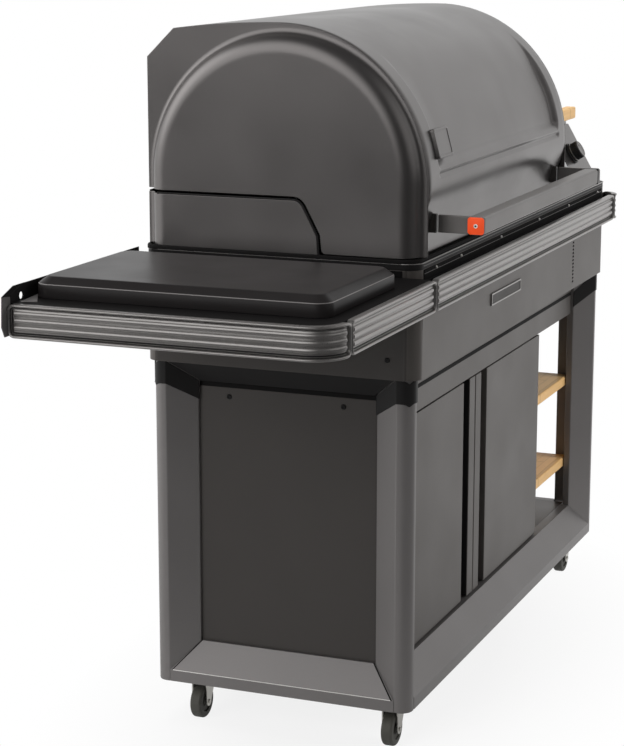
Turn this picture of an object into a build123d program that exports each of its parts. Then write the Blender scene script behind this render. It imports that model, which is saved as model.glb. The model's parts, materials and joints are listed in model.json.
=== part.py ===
from build123d import *
import os
from math import asin, cos, hypot, sin

os.makedirs("parts", exist_ok=True)

# Wood-pellet barbecue on a wheeled cabinet, in millimetres.
# +X runs to the hopper end, the front faces -Y and the floor is Z = 0.

# Cabinet frame
CAB_LEFT = -405
CAB_RIGHT = 877
CAB_FRONT = -214
CAB_REAR = 288
CAB_MID_X = (CAB_LEFT + CAB_RIGHT) / 2
CAB_MID_Y = (CAB_FRONT + CAB_REAR) / 2
FRAME_BOTTOM = 82
POST_TOP = 694
POST_WALL = 2
POST_FLAT = 28
POST_WIDTH = 77
POST_INNER = 50
POST_ROUND = 22
BEVEL_DEPTH = 36
POST_GAP = 0.6
CAP_HEIGHT = 42
CAP_THICKNESS = 1.6
CAP_TOP_DROP = 39
CAP_FOOT_DROP = 32
SILL_LIP_TOP = 104
SILL_TOP = 157
SILL_DEPTH = 56
SILL_WALL = 2
FLOOR_TOP = SILL_TOP
SHEET = 2.5
EDGE_ROUND = 3
END_PLAY = 1
PANEL_SETBACK = 42
PANEL_TOP = 645
HEADER_FOOT = 655
FRONT_HEADER_FOOT = 605

# Doors and the open bay beside them
DOOR_FACE = CAB_FRONT + 42
DOOR_THICKNESS = 20
DOOR_FOOT = 160
DOOR_TOP = 602
LEFT_DOOR_START = CAB_LEFT + 82
DOORS_MEET = 96
DOOR_GAP = 2.5
RIGHT_DOOR_END = 547
GROOVE_WIDTH = 37
GROOVE_OFFSET = 37
GROOVE_DEPTH = 14
DOOR_PIN_RADIUS = 4
DOOR_PIN_INSET = 10
DOOR_PIN_REACH = 16
DOOR_STILE = 22
RUNNING_GAP = 0.05
DIVIDER_LEFT = 549
DIVIDER_FRONT = CAB_FRONT + 67
BAMBOO_THICKNESS = 22
UPPER_SHELF_TOP = 458
LOWER_SHELF_TOP = 268
BAMBOO_FRONT = CAB_FRONT + 52
BAMBOO_REAR = CAB_REAR - POST_INNER - END_PLAY

# Casters
CASTER_LEFT = CAB_LEFT + 66
CASTER_RIGHT = CAB_RIGHT - 67
CASTER_FRONT = CAB_FRONT + 50
CASTER_REAR = CAB_REAR - 70
CASTER_TRAIL = 16
CASTER_PLATE = 60
CASTER_PLATE_THICKNESS = 3
KING_PIN_RADIUS = 6
CROWN_TOP = 78.6
CROWN_THICKNESS = 4
CROWN_LENGTH = 52
CROWN_ROUND = 8
FORK_GAP = 26
FORK_LEG = 3
LEG_BEHIND = 26
LEG_AHEAD = 16
EYE_RADIUS = 9
WHEEL_RADIUS = 32
WHEEL_WIDTH = 22
AXLE_RADIUS = 4
AXLE_END = 2
TREAD_ROUND = 5
HUB_RADIUS = 10
HUB_SINK = 3
HUB_SINK_RADIUS = 20
LEVER_Z = 66
LEVER_HUB_RADIUS = 4
LEVER_PIN_RADIUS = 1.5
LEVER_REACH = 26
LEVER_BLADE = 3
LEVER_CLEAR = 2
LEVER_HALF = 8
EAR_THICKNESS = 3
EAR_GAP = 0.5

# Upper housing and deck
HOUSING_LEFT = -407
HOUSING_RIGHT = 878
HOUSING_FRONT = -224
HOUSING_REAR = 300
HOUSING_ROUND = 28
HOUSING_TOP = 888
DECK_TOP = 900
DECK_PLATE = 3
VENT_X = 614
VENT_RADIUS = 2
VENT_COUNT = 12
VENT_PITCH = 7.7
VENT_FOOT = 711

# Barrel and lid
LID_MID_X = 65
SKIN_LEFT = -373
SKIN_RIGHT = 2 * LID_MID_X - SKIN_LEFT
ARCH_Y = 50
ARCH_Z = 1024
ARCH_RADIUS = 280
LID_TOP = ARCH_Z + ARCH_RADIUS
LID_FRONT = ARCH_Y - ARCH_RADIUS
LID_REAR = 302
LID_FOOT = 908
LID_CHAMFER_Y = 250
LID_CHAMFER_TOP = 1291
LID_CHAMFER_Z = 1240
LID_WALL = 2.5
PLATE_X = (-321, -245)
PLATE_Z = (1072, 1123)
PLATE_RISE = 6
PLATE_SINK = 2
PLATE_ROUND = 4
DOME_DEPTH = 33
DOME_FILLET = 27
DOME_FRONT = LID_FRONT + 5
DOME_REAR = LID_REAR - 4
DOME_TOP = LID_TOP - 9
OUTLINE_FOOT = 800
SEAM_Z = 1002
SEAM_GAP = 4
SEAM_STEP_Y = -5
SEAM_KNEE = (-38, 940)
SEAM_FOOT_Y = -41
SEAM_ROUND = 24
TUB_LEFT = -350
TUB_RIGHT = 490
TUB_FRONT = -200
TUB_REAR = 280
TUB_FOOT = 770
TUB_FLANGE = 8
TUB_FLANGE_THICKNESS = 3
FIT_GAP = 0.5

# Lid hinges and handle
HINGE_Y = 310
HINGE_Z = 1004
HINGE_CENTRES = (-250, LID_MID_X, 380)
KNUCKLE_RADIUS = 6
HINGE_PIN_RADIUS = 3
KNUCKLE_LENGTH = 28
KNUCKLE_GAP = 1
WEB_GAP = 0.5
LEAF_HEIGHT = 20
LEAF_THICKNESS = 2
LEAF_WIDTH = 90
HANDLE_FRONT = -316
HANDLE_SIZE = 31
HANDLE_FOOT = 945
HANDLE_LEFT = -321
HANDLE_RIGHT = 461
HANDLE_WALL = 3
HANDLE_ARM = 8
CAP_DEPTH = 6
HANDLE_ROUND = 5

# Fire, feed and fan
FIRE_X = 70
FIRE_Y = 40
POT_RADIUS = 50
POT_HEIGHT = 78
FIRE_GAP = 1
AUGER_Z = 808
AUGER_TUBE_RADIUS = 28
AUGER_TUBE_WALL = 2
AUGER_SHAFT_RADIUS = 7
AUGER_FLIGHT_RADIUS = 24.5
AUGER_PITCH = 46
AUGER_TURNS = 12
AUGER_END = 742
FLIGHT_THICKNESS = 3
FLIGHT_ROOT = 1
FLIGHT_SETBACK = 8
SHAFT_SETBACK = 4
SHAFT_TAIL = 36
FEED_SLOT_HALF = 20
FEED_SLOT_FOOT = 10
AUGER_MOTOR_END = 812
MOTOR_HALF = 32
MOTOR_FOOT_INSET = 5
MOTOR_FOOT_HALF = 20
MOTOR_BORE = 60
KEG_X = -100
KEG_RADIUS = 95
KEG_FOOT = 460
DRAIN_RADIUS = 30
DRAIN_CLEAR = 4
DRAIN_DROP = 20
KEG_ROUND = 5
KEG_RIM = 4
KEG_LIP = 10
FAN_X = 690
FAN_Y = 190
FAN_RADIUS = 75
FAN_HEIGHT = 60

# Hopper and controller
HOPPER_LEFT = 548
HOPPER_RIGHT = 876
HOPPER_FRONT = -130
HOPPER_REAR = 290
HOPPER_TOP = 1038
CHUTE_LEFT = 640
CHUTE_RIGHT = 740
CHUTE_HALF = 50
CHUTE_FOOT = 840
CONTROL_FOOT_Y = -207
CONTROL_TOP_Y = -135
CONTROL_TOP_Z = 1025
HOPPER_LID_THICKNESS = 4
HOPPER_LID_LAP = 2
HOPPER_LID_GAP = 1
HOPPER_HINGE_Y = 297
HOPPER_HINGE_Z = 1040
GRIP_DEPTH = 24
GRIP_HEIGHT = 26
GRIP_INSET = 16
GRIP_ROUND = 4
DIAL_X = 782
DIAL_RADIUS = 20
DIAL_HEIGHT = 26
DIAL_SKIRT_RADIUS = 24
DIAL_SKIRT = 5
DIAL_ALONG = 78
DIAL_GAP = 1
DIAL_SPINDLE = 10
DISPLAY_X = 655
DISPLAY_WIDTH = 110
DISPLAY_HEIGHT = 56
DISPLAY_ROUND = 5
DISPLAY_THICKNESS = 2

# Rails and side shelf
RAIL_FOOT = 820
RAIL_TOP = 876
RAIL_THICKNESS = 12
RAIL_FIELD = 7
RAIL_BORDER = 8
RAIL_RIB_RADIUS = 4
RAIL_RIBS = 3
RAIL_BACK_Y = -247
SHELF_LEFT = -871
SHELF_REAR = 308
RAIL_REAR = 310
RAIL_CORNER = 48
SIDE_RAIL_END = -815
RAIL_SPLIT = -405
RAIL_JOINT = 3
RIGHT_RAIL_START = 830
RIGHT_CORNER = 30
RIGHT_RETURN = 2
CHANNEL_LIFT = 2
SHELF_TOP = 876
SHELF_FOOT = 824
GUARD_TOP = 902
GUARD_CHAMFER = 38
GUARD_SLOPE = 13
GUARD_THICKNESS = 2
GUARD_HOLE_X = -836
GUARD_HOLE_Z = 883
GUARD_HOLE_RADIUS = 6
COVER_LEFT = -815
COVER_RIGHT = -490
COVER_FRONT = -219
COVER_REAR = 300
COVER_FOOT = 876.4
COVER_SHOULDER = 899
COVER_TOP = 911
COVER_BEVEL = 15
COVER_ROUND = 28
COVER_WALL = 2
UNIT_INSET = 28
UNIT_X = (COVER_LEFT + UNIT_INSET, COVER_RIGHT - UNIT_INSET)
UNIT_Y = (COVER_FRONT + UNIT_INSET, COVER_REAR - UNIT_INSET)
UNIT_FOOT = SHELF_FOOT + 14
GLASS_INSET = 8
GLASS_THICKNESS = 4


def keep(piece, name):
    """Label a finished piece and write its STEP file."""
    piece.part.label = name
    export_step(piece.part, f"parts/{name}.step")


def block(x_span, y_span, z_span, mode=Mode.ADD):
    """A box between two X, two Y and two Z values."""
    with Locations((x_span[0], y_span[0], z_span[0])):
        Box(
            x_span[1] - x_span[0],
            y_span[1] - y_span[0],
            z_span[1] - z_span[0],
            align=(Align.MIN, Align.MIN, Align.MIN),
            mode=mode,
        )


def rod(start, direction, radius, length, mode=Mode.ADD):
    """A round bar from a point along a direction."""
    with Locations(Plane(origin=start, z_dir=direction)):
        Cylinder(radius, length, align=(Align.CENTER, Align.CENTER, Align.MIN), mode=mode)


def post_outline(grow=0.0, filled=False):
    """Section of the front left corner post, with its two bevelled faces."""
    inner = [(POST_WIDTH, POST_INNER), (POST_INNER, POST_INNER), (POST_INNER, POST_WIDTH)]
    if filled:
        inner = [(POST_WIDTH, POST_WIDTH)]
    corners = [(0, 0), (POST_FLAT, 0), (POST_WIDTH, BEVEL_DEPTH)]
    corners += inner
    corners += [(BEVEL_DEPTH, POST_WIDTH), (0, POST_FLAT)]
    with BuildSketch(mode=Mode.PRIVATE) as outline:
        with BuildLine():
            Polyline([(CAB_LEFT + u, CAB_FRONT + v) for u, v in corners], close=True)
        make_face()
        outer = outline.vertices().sort_by_distance((CAB_LEFT, CAB_FRONT))[0]
        fillet(outer, radius=POST_ROUND)
        if grow:
            offset(amount=grow, kind=Kind.INTERSECTION)
    return outline.sketch


def four_corners(section):
    """A section at the front left corner, repeated at all four corners."""
    with BuildSketch(mode=Mode.PRIVATE) as corners:
        add(section)
        mirror(about=Plane.YZ.offset(CAB_MID_X))
        mirror(about=Plane.XZ.offset(-CAB_MID_Y))
    return corners.sketch


def span_x(outline, start, end, mode=Mode.ADD):
    """A prism along X from a section drawn in Y and Z."""
    with BuildSketch(Plane.YZ.offset(start)) as section:
        add(outline)
    extrude(section.sketch, amount=end - start, mode=mode)


def span_y(outline, start, end, mode=Mode.ADD):
    """A prism along Y from a section drawn in X and Z."""
    with BuildSketch(Plane.XZ.offset(-end)) as section:
        add(outline)
    extrude(section.sketch, amount=end - start, mode=mode)


def span_z(outline, start, end, mode=Mode.ADD):
    """A prism along Z from a section drawn in X and Y."""
    with BuildSketch(Plane.XY.offset(start)) as section:
        add(outline)
    extrude(section.sketch, amount=end - start, mode=mode)


def polygon(points):
    """A face from its corner points."""
    with BuildSketch(mode=Mode.PRIVATE) as face:
        with BuildLine():
            Polyline(points, close=True)
        make_face()
    return face.sketch


def rounded_rectangle(x_span, y_span, radius):
    """A rounded rectangle between two X and two Y values."""
    with BuildSketch(mode=Mode.PRIVATE) as face:
        with Locations(((x_span[0] + x_span[1]) / 2, (y_span[0] + y_span[1]) / 2)):
            RectangleRounded(x_span[1] - x_span[0], y_span[1] - y_span[0], radius)
    return face.sketch


# Corner posts and their caps
with BuildPart() as corner_posts:
    span_z(four_corners(post_outline()), FRAME_BOTTOM, POST_TOP)
    span_z(four_corners(post_outline(grow=-POST_WALL)), FRAME_BOTTOM, POST_TOP, mode=Mode.SUBTRACT)
keep(corner_posts, "corner_posts")


def cap_band(face_start):
    """Band of a post cap that drops as the bevel goes in from the outer face."""
    inside = face_start + BEVEL_DEPTH
    return polygon(
        [
            (face_start - POST_INNER, POST_TOP - CAP_HEIGHT),
            (face_start, POST_TOP - CAP_HEIGHT),
            (inside, POST_TOP - CAP_HEIGHT - CAP_FOOT_DROP),
            (inside, POST_TOP - CAP_TOP_DROP),
            (face_start, POST_TOP),
            (face_start - POST_INNER, POST_TOP),
        ]
    )


def cap_half(along_x):
    """Half of the front left cap, on one side of the post's diagonal."""
    near = -POST_INNER
    far = POST_WIDTH + POST_INNER
    third = (far, near) if along_x else (near, far)
    diagonal = [(near, near), (far, far), third]
    with BuildPart() as half:
        span_z(post_outline(grow=CAP_THICKNESS + RUNNING_GAP), POST_TOP - 2 * POST_WIDTH, POST_TOP)
        span_z(
            post_outline(grow=RUNNING_GAP),
            POST_TOP - 2 * POST_WIDTH,
            POST_TOP,
            mode=Mode.SUBTRACT,
        )
        span_z(
            polygon([(CAB_LEFT + u, CAB_FRONT + v) for u, v in diagonal]),
            POST_TOP - 2 * POST_WIDTH,
            POST_TOP,
            mode=Mode.INTERSECT,
        )
        if along_x:
            span_x(cap_band(CAB_FRONT), CAB_LEFT + near, CAB_LEFT + far, mode=Mode.INTERSECT)
        else:
            span_y(cap_band(CAB_LEFT), CAB_FRONT + near, CAB_FRONT + far, mode=Mode.INTERSECT)
    return half.part


CAP_HALVES = (cap_half(True), cap_half(False))

with BuildPart() as post_caps:
    for half_cap in CAP_HALVES:
        add(half_cap)
    mirror(about=Plane.YZ.offset(CAB_MID_X))
    mirror(about=Plane.XZ.offset(-CAB_MID_Y))
keep(post_caps, "post_caps")


# Bevelled base sills, mitred against the posts
SILL_SPAN_X = (CAB_LEFT + POST_FLAT, CAB_RIGHT - POST_FLAT)
SILL_SPAN_Y = (CAB_FRONT + POST_FLAT, CAB_REAR - POST_FLAT)


def sill_section(face_start, inward, inset=0.0):
    """Hollow sill section; inward is +1 or -1 along the section's first axis."""
    points = [
        (0, FRAME_BOTTOM),
        (0, SILL_LIP_TOP),
        (BEVEL_DEPTH, SILL_TOP),
        (SILL_DEPTH, SILL_TOP),
        (SILL_DEPTH, FRAME_BOTTOM),
    ]
    with BuildSketch(mode=Mode.PRIVATE) as section:
        add(polygon([(face_start + inward * w, z) for w, z in points]))
        if inset:
            offset(amount=-inset, kind=Kind.INTERSECTION)
    return section.sketch


with BuildPart() as base_sills:
    for wall, mode in ((0.0, Mode.ADD), (SILL_WALL, Mode.SUBTRACT)):
        span_x(sill_section(CAB_FRONT, 1, wall), *SILL_SPAN_X, mode=mode)
        span_x(sill_section(CAB_REAR, -1, wall), *SILL_SPAN_X, mode=mode)
        span_y(sill_section(CAB_LEFT, 1, wall), *SILL_SPAN_Y, mode=mode)
        span_y(sill_section(CAB_RIGHT, -1, wall), *SILL_SPAN_Y, mode=mode)
    span_z(
        four_corners(post_outline(grow=POST_GAP, filled=True)),
        FRAME_BOTTOM,
        SILL_TOP,
        mode=Mode.SUBTRACT,
    )
keep(base_sills, "base_sills")


# Headers between the posts at the top
def side_header_section(face_start, inward, inset=0.0):
    """Hollow bevelled header that slopes in below the housing."""
    points = [
        (0, POST_TOP),
        (BEVEL_DEPTH, HEADER_FOOT),
        (SILL_DEPTH, HEADER_FOOT),
        (SILL_DEPTH, POST_TOP),
    ]
    with BuildSketch(mode=Mode.PRIVATE) as section:
        add(polygon([(face_start + inward * w, z) for w, z in points]))
        if inset:
            offset(amount=-inset, kind=Kind.INTERSECTION)
    return section.sketch


with BuildPart() as top_headers:
    for wall, mode in ((0.0, Mode.ADD), (SILL_WALL, Mode.SUBTRACT)):
        span_y(side_header_section(CAB_LEFT, 1, wall), *SILL_SPAN_Y, mode=mode)
        span_y(side_header_section(CAB_RIGHT, -1, wall), *SILL_SPAN_Y, mode=mode)
    span_z(
        four_corners(post_outline(grow=CAP_THICKNESS + POST_GAP, filled=True)),
        HEADER_FOOT,
        POST_TOP,
        mode=Mode.SUBTRACT,
    )
    block(
        (CAB_LEFT + POST_WIDTH, CAB_RIGHT - POST_WIDTH),
        (DOOR_FACE, DOOR_FACE + SHEET),
        (FRONT_HEADER_FOOT, POST_TOP),
    )
    block(
        (CAB_LEFT + POST_WIDTH, CAB_RIGHT - POST_WIDTH),
        (DOOR_FACE, CAB_FRONT + SILL_DEPTH),
        (FRONT_HEADER_FOOT, FRONT_HEADER_FOOT + SHEET),
    )
keep(top_headers, "top_headers")

# Cabinet panels
with BuildPart() as floor_panel:
    block(
        (CAB_LEFT + SILL_DEPTH, CAB_RIGHT - SILL_DEPTH),
        (CAB_FRONT + SILL_DEPTH, CAB_REAR - SILL_DEPTH),
        (FLOOR_TOP - SHEET, FLOOR_TOP),
    )
keep(floor_panel, "floor_panel")

with BuildPart() as left_side_panel:
    block(
        (CAB_LEFT + PANEL_SETBACK, CAB_LEFT + PANEL_SETBACK + SHEET),
        (CAB_FRONT + POST_WIDTH, CAB_REAR - POST_WIDTH),
        (SILL_TOP, PANEL_TOP),
    )
keep(left_side_panel, "left_side_panel")

with BuildPart() as back_panel:
    block(
        (CAB_LEFT + POST_WIDTH, CAB_RIGHT - POST_WIDTH),
        (CAB_REAR - PANEL_SETBACK - SHEET, CAB_REAR - PANEL_SETBACK),
        (SILL_TOP, POST_TOP),
    )
keep(back_panel, "back_panel")

with BuildPart() as bay_divider:
    block(
        (DIVIDER_LEFT, DIVIDER_LEFT + SHEET),
        (DIVIDER_FRONT, CAB_REAR - PANEL_SETBACK - SHEET),
        (FLOOR_TOP, POST_TOP),
    )
keep(bay_divider, "bay_divider")


# Bamboo boards between the divider and the right posts
with BuildPart() as bamboo_shelves:
    for top in (UPPER_SHELF_TOP, LOWER_SHELF_TOP):
        block(
            (DIVIDER_LEFT + SHEET, CAB_RIGHT - POST_INNER),
            (BAMBOO_FRONT, BAMBOO_REAR),
            (top - BAMBOO_THICKNESS, top),
        )
    fillet(bamboo_shelves.edges().filter_by(Axis.X).group_by(Axis.Y)[0], radius=EDGE_ROUND)
keep(bamboo_shelves, "bamboo_shelves")

# Doors, with an upright finger groove beside the meeting edge
LEFT_PIN_X = LEFT_DOOR_START + DOOR_PIN_INSET
RIGHT_PIN_X = RIGHT_DOOR_END - DOOR_PIN_INSET
DOOR_PIN_Y = DOOR_FACE + DOOR_PIN_INSET


def door(name, x_span, groove_start, pin_x):
    """A door folded from sheet, open at the back, with a solid stile round its pins."""
    hinge_left = pin_x < groove_start
    pan_start = x_span[0] + (DOOR_STILE if hinge_left else SHEET)
    pan_end = x_span[1] - (SHEET if hinge_left else DOOR_STILE)
    pans = ((pan_start, groove_start - SHEET), (groove_start + GROOVE_WIDTH + SHEET, pan_end))
    with BuildPart() as leaf:
        block(x_span, (DOOR_FACE, DOOR_FACE + DOOR_THICKNESS), (DOOR_FOOT, DOOR_TOP))
        fillet(leaf.edges().filter_by(Axis.Z).group_by(Axis.Y)[0], radius=EDGE_ROUND)
        block(
            (groove_start, groove_start + GROOVE_WIDTH),
            (DOOR_FACE, DOOR_FACE + GROOVE_DEPTH),
            (DOOR_FOOT, DOOR_TOP),
            mode=Mode.SUBTRACT,
        )
        for pan in pans:
            block(
                pan,
                (DOOR_FACE + SHEET, DOOR_FACE + DOOR_THICKNESS),
                (DOOR_FOOT + SHEET, DOOR_TOP - SHEET),
                mode=Mode.SUBTRACT,
            )
        for z, up in ((DOOR_FOOT, 1), (DOOR_TOP, -1)):
            rod(
                (pin_x, DOOR_PIN_Y, z),
                (0, 0, up),
                DOOR_PIN_RADIUS + RUNNING_GAP,
                DOOR_PIN_REACH + END_PLAY,
                mode=Mode.SUBTRACT,
            )
    keep(leaf, name)


door(
    "left_door",
    (LEFT_DOOR_START, DOORS_MEET - DOOR_GAP / 2),
    DOORS_MEET - GROOVE_OFFSET - GROOVE_WIDTH,
    LEFT_PIN_X,
)
door(
    "right_door",
    (DOORS_MEET + DOOR_GAP / 2, RIGHT_DOOR_END),
    DOORS_MEET + GROOVE_OFFSET,
    RIGHT_PIN_X,
)

# Pins of the doors, the lid and the hopper lid
with BuildPart() as hinge_pins:
    for pin_x in (LEFT_PIN_X, RIGHT_PIN_X):
        rod(
            (pin_x, DOOR_PIN_Y, SILL_TOP),
            (0, 0, 1),
            DOOR_PIN_RADIUS,
            DOOR_FOOT - SILL_TOP + DOOR_PIN_REACH,
        )
        rod(
            (pin_x, DOOR_PIN_Y, FRONT_HEADER_FOOT),
            (0, 0, -1),
            DOOR_PIN_RADIUS,
            FRONT_HEADER_FOOT - DOOR_TOP + DOOR_PIN_REACH,
        )
    for centre in HINGE_CENTRES:
        rod(
            (centre - 1.5 * KNUCKLE_LENGTH, HINGE_Y, HINGE_Z),
            (1, 0, 0),
            HINGE_PIN_RADIUS,
            3 * KNUCKLE_LENGTH,
        )
    rod(
        (HOPPER_LEFT + KNUCKLE_LENGTH, HOPPER_HINGE_Y, HOPPER_HINGE_Z),
        (1, 0, 0),
        HINGE_PIN_RADIUS,
        HOPPER_RIGHT - HOPPER_LEFT - 2 * KNUCKLE_LENGTH,
    )
keep(hinge_pins, "hinge_pins")

# Casters
CASTER_SPOTS = {
    "front_left": (CASTER_LEFT, CASTER_FRONT),
    "rear_left": (CASTER_LEFT, CASTER_REAR),
    "front_right": (CASTER_RIGHT, CASTER_FRONT),
    "rear_right": (CASTER_RIGHT, CASTER_REAR),
}
BRAKED_CASTERS = ("front_left", "rear_left")
PLATE_FOOT = FRAME_BOTTOM - CASTER_PLATE_THICKNESS
LEVER_Y = FORK_GAP / 2 + FORK_LEG + LEVER_HUB_RADIUS + LEVER_CLEAR

with BuildPart() as caster_plates:
    for x, y in CASTER_SPOTS.values():
        block(
            (x - CASTER_PLATE / 2, x + CASTER_PLATE / 2),
            (y - CASTER_PLATE / 2, y + CASTER_PLATE / 2),
            (PLATE_FOOT, FRAME_BOTTOM),
        )
        rod((x, y, PLATE_FOOT), (0, 0, -1), KING_PIN_RADIUS, CROWN_THICKNESS + END_PLAY)
keep(caster_plates, "caster_plates")


def caster_fork(spot, x, y):
    """Fork that swivels on the king pin, with its axle and, on braked casters, the lever's pin."""
    axle_x = x - CASTER_TRAIL
    crown_foot = CROWN_TOP - CROWN_THICKNESS
    half_width = FORK_GAP / 2 + FORK_LEG
    with BuildPart() as fork:
        with BuildSketch(Plane.XY.offset(crown_foot)):
            with Locations((x - CASTER_TRAIL / 4, y)):
                RectangleRounded(CROWN_LENGTH, 2 * half_width, CROWN_ROUND)
        extrude(amount=CROWN_THICKNESS)
        leg = [
            (x - LEG_BEHIND, crown_foot),
            (x + LEG_AHEAD, crown_foot),
            (axle_x + EYE_RADIUS, WHEEL_RADIUS),
            (axle_x - EYE_RADIUS, WHEEL_RADIUS),
        ]
        for inner in (y - half_width, y + FORK_GAP / 2):
            span_y(polygon(leg), inner, inner + FORK_LEG)
            rod((axle_x, inner, WHEEL_RADIUS), (0, 1, 0), EYE_RADIUS, FORK_LEG)
        rod(
            (x, y, crown_foot),
            (0, 0, 1),
            KING_PIN_RADIUS + RUNNING_GAP,
            CROWN_THICKNESS,
            mode=Mode.SUBTRACT,
        )
        rod(
            (axle_x, y - half_width, WHEEL_RADIUS),
            (0, 1, 0),
            AXLE_RADIUS + RUNNING_GAP,
            2 * half_width,
            mode=Mode.SUBTRACT,
        )
        rod(
            (axle_x, y - half_width - AXLE_END, WHEEL_RADIUS),
            (0, 1, 0),
            AXLE_RADIUS,
            2 * (half_width + AXLE_END),
        )
        if spot in BRAKED_CASTERS:
            ear_from = LEVER_HALF + EAR_GAP
            for ear_start in (x - ear_from - EAR_THICKNESS, x + ear_from):
                block(
                    (ear_start, ear_start + EAR_THICKNESS),
                    (y + half_width - END_PLAY, y + LEVER_Y + LEVER_HUB_RADIUS),
                    (LEVER_Z - LEVER_HUB_RADIUS, crown_foot + END_PLAY),
                )
            rod(
                (x - LEVER_HALF - EAR_THICKNESS, y + LEVER_Y, LEVER_Z),
                (1, 0, 0),
                LEVER_PIN_RADIUS,
                2 * (LEVER_HALF + EAR_THICKNESS),
            )
    keep(fork, f"caster_fork_{spot}")


def caster_wheel(spot, x, y):
    """Rubber wheel with a rounded tread and a sunk hub."""
    axle_x = x - CASTER_TRAIL
    start = (axle_x, y - WHEEL_WIDTH / 2, WHEEL_RADIUS)
    with BuildPart() as wheel:
        rod(start, (0, 1, 0), WHEEL_RADIUS, WHEEL_WIDTH)
        fillet(wheel.edges().filter_by(GeomType.CIRCLE), radius=TREAD_ROUND)
        for y_start in (y - WHEEL_WIDTH / 2, y + WHEEL_WIDTH / 2 - HUB_SINK):
            sink_start = (axle_x, y_start, WHEEL_RADIUS)
            rod(sink_start, (0, 1, 0), HUB_SINK_RADIUS, HUB_SINK, mode=Mode.SUBTRACT)
        rod(start, (0, 1, 0), HUB_RADIUS, WHEEL_WIDTH)
        rod(start, (0, 1, 0), AXLE_RADIUS + RUNNING_GAP, WHEEL_WIDTH, mode=Mode.SUBTRACT)
    keep(wheel, f"caster_wheel_{spot}")


def brake_lever(spot, x, y):
    """Foot lever that tips on a small pin beside the fork."""
    with BuildPart() as lever:
        start = (x - LEVER_HALF, y + LEVER_Y, LEVER_Z)
        rod(start, (1, 0, 0), LEVER_HUB_RADIUS, 2 * LEVER_HALF)
        blade = [
            (x - LEVER_HALF, y + LEVER_Y),
            (x + LEVER_HALF, y + LEVER_Y),
            (x + LEVER_HALF / 2, y + LEVER_Y + LEVER_REACH),
            (x - LEVER_HALF / 2, y + LEVER_Y + LEVER_REACH),
        ]
        blade_top = LEVER_Z + LEVER_HUB_RADIUS
        span_z(polygon(blade), blade_top - LEVER_BLADE, blade_top)
        rod(start, (1, 0, 0), LEVER_PIN_RADIUS + RUNNING_GAP, 2 * LEVER_HALF, mode=Mode.SUBTRACT)
    keep(lever, f"brake_lever_{spot}")


for spot, (spot_x, spot_y) in CASTER_SPOTS.items():
    caster_fork(spot, spot_x, spot_y)
    caster_wheel(spot, spot_x, spot_y)
    if spot in BRAKED_CASTERS:
        brake_lever(spot, spot_x, spot_y)


# Upper housing: a tray with rounded corners, and the deck that closes it
def housing_outline(inset=0.0):
    """Plan of the housing, drawn in by an inset."""
    return rounded_rectangle(
        (HOUSING_LEFT + inset, HOUSING_RIGHT - inset),
        (HOUSING_FRONT + inset, HOUSING_REAR - inset),
        HOUSING_ROUND - inset,
    )


with BuildPart() as lower_housing:
    span_z(housing_outline(), POST_TOP, HOUSING_TOP)
    span_z(housing_outline(SHEET), POST_TOP + SHEET, HOUSING_TOP, mode=Mode.SUBTRACT)
    rod((KEG_X, FIRE_Y, POST_TOP), (0, 0, 1), DRAIN_RADIUS + DRAIN_CLEAR, SHEET, mode=Mode.SUBTRACT)
    for row in range(VENT_COUNT):
        vent_z = VENT_FOOT + row * VENT_PITCH
        rod((VENT_X, HOUSING_FRONT, vent_z), (0, 1, 0), VENT_RADIUS, SHEET, mode=Mode.SUBTRACT)
keep(lower_housing, "lower_housing")

with BuildPart() as housing_deck:
    span_z(housing_outline(), HOUSING_TOP, DECK_TOP)
    span_z(housing_outline(SHEET), HOUSING_TOP, DECK_TOP - DECK_PLATE, mode=Mode.SUBTRACT)
    block(
        (TUB_LEFT - FIT_GAP, TUB_RIGHT + FIT_GAP),
        (TUB_FRONT - FIT_GAP, TUB_REAR + FIT_GAP),
        (DECK_TOP - DECK_PLATE, DECK_TOP),
        mode=Mode.SUBTRACT,
    )
    block(
        (CHUTE_LEFT - FIT_GAP, CHUTE_RIGHT + FIT_GAP),
        (FIRE_Y - CHUTE_HALF - FIT_GAP, FIRE_Y + CHUTE_HALF + FIT_GAP),
        (DECK_TOP - DECK_PLATE, DECK_TOP),
        mode=Mode.SUBTRACT,
    )
keep(housing_deck, "housing_deck")

# Barrel tub that drops into the deck, with its drain
with BuildPart() as barrel_tub:
    block((TUB_LEFT, TUB_RIGHT), (TUB_FRONT, TUB_REAR), (TUB_FOOT, DECK_TOP))
    block(
        (TUB_LEFT - TUB_FLANGE, TUB_RIGHT + TUB_FLANGE),
        (TUB_FRONT - TUB_FLANGE, TUB_REAR + TUB_FLANGE),
        (DECK_TOP, DECK_TOP + TUB_FLANGE_THICKNESS),
    )
    block(
        (TUB_LEFT + SHEET, TUB_RIGHT - SHEET),
        (TUB_FRONT + SHEET, TUB_REAR - SHEET),
        (TUB_FOOT + SHEET, DECK_TOP + TUB_FLANGE_THICKNESS),
        mode=Mode.SUBTRACT,
    )
    drain_length = TUB_FOOT - POST_TOP + DRAIN_DROP
    rod((KEG_X, FIRE_Y, TUB_FOOT), (0, 0, -1), DRAIN_RADIUS, drain_length)
    rod(
        (KEG_X, FIRE_Y, TUB_FOOT + SHEET),
        (0, 0, -1),
        DRAIN_RADIUS - SHEET,
        drain_length + SHEET,
        mode=Mode.SUBTRACT,
    )
    rod(
        (TUB_RIGHT - SHEET, FIRE_Y, AUGER_Z),
        (1, 0, 0),
        AUGER_TUBE_RADIUS + RUNNING_GAP,
        SHEET,
        mode=Mode.SUBTRACT,
    )
keep(barrel_tub, "barrel_tub")


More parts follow.
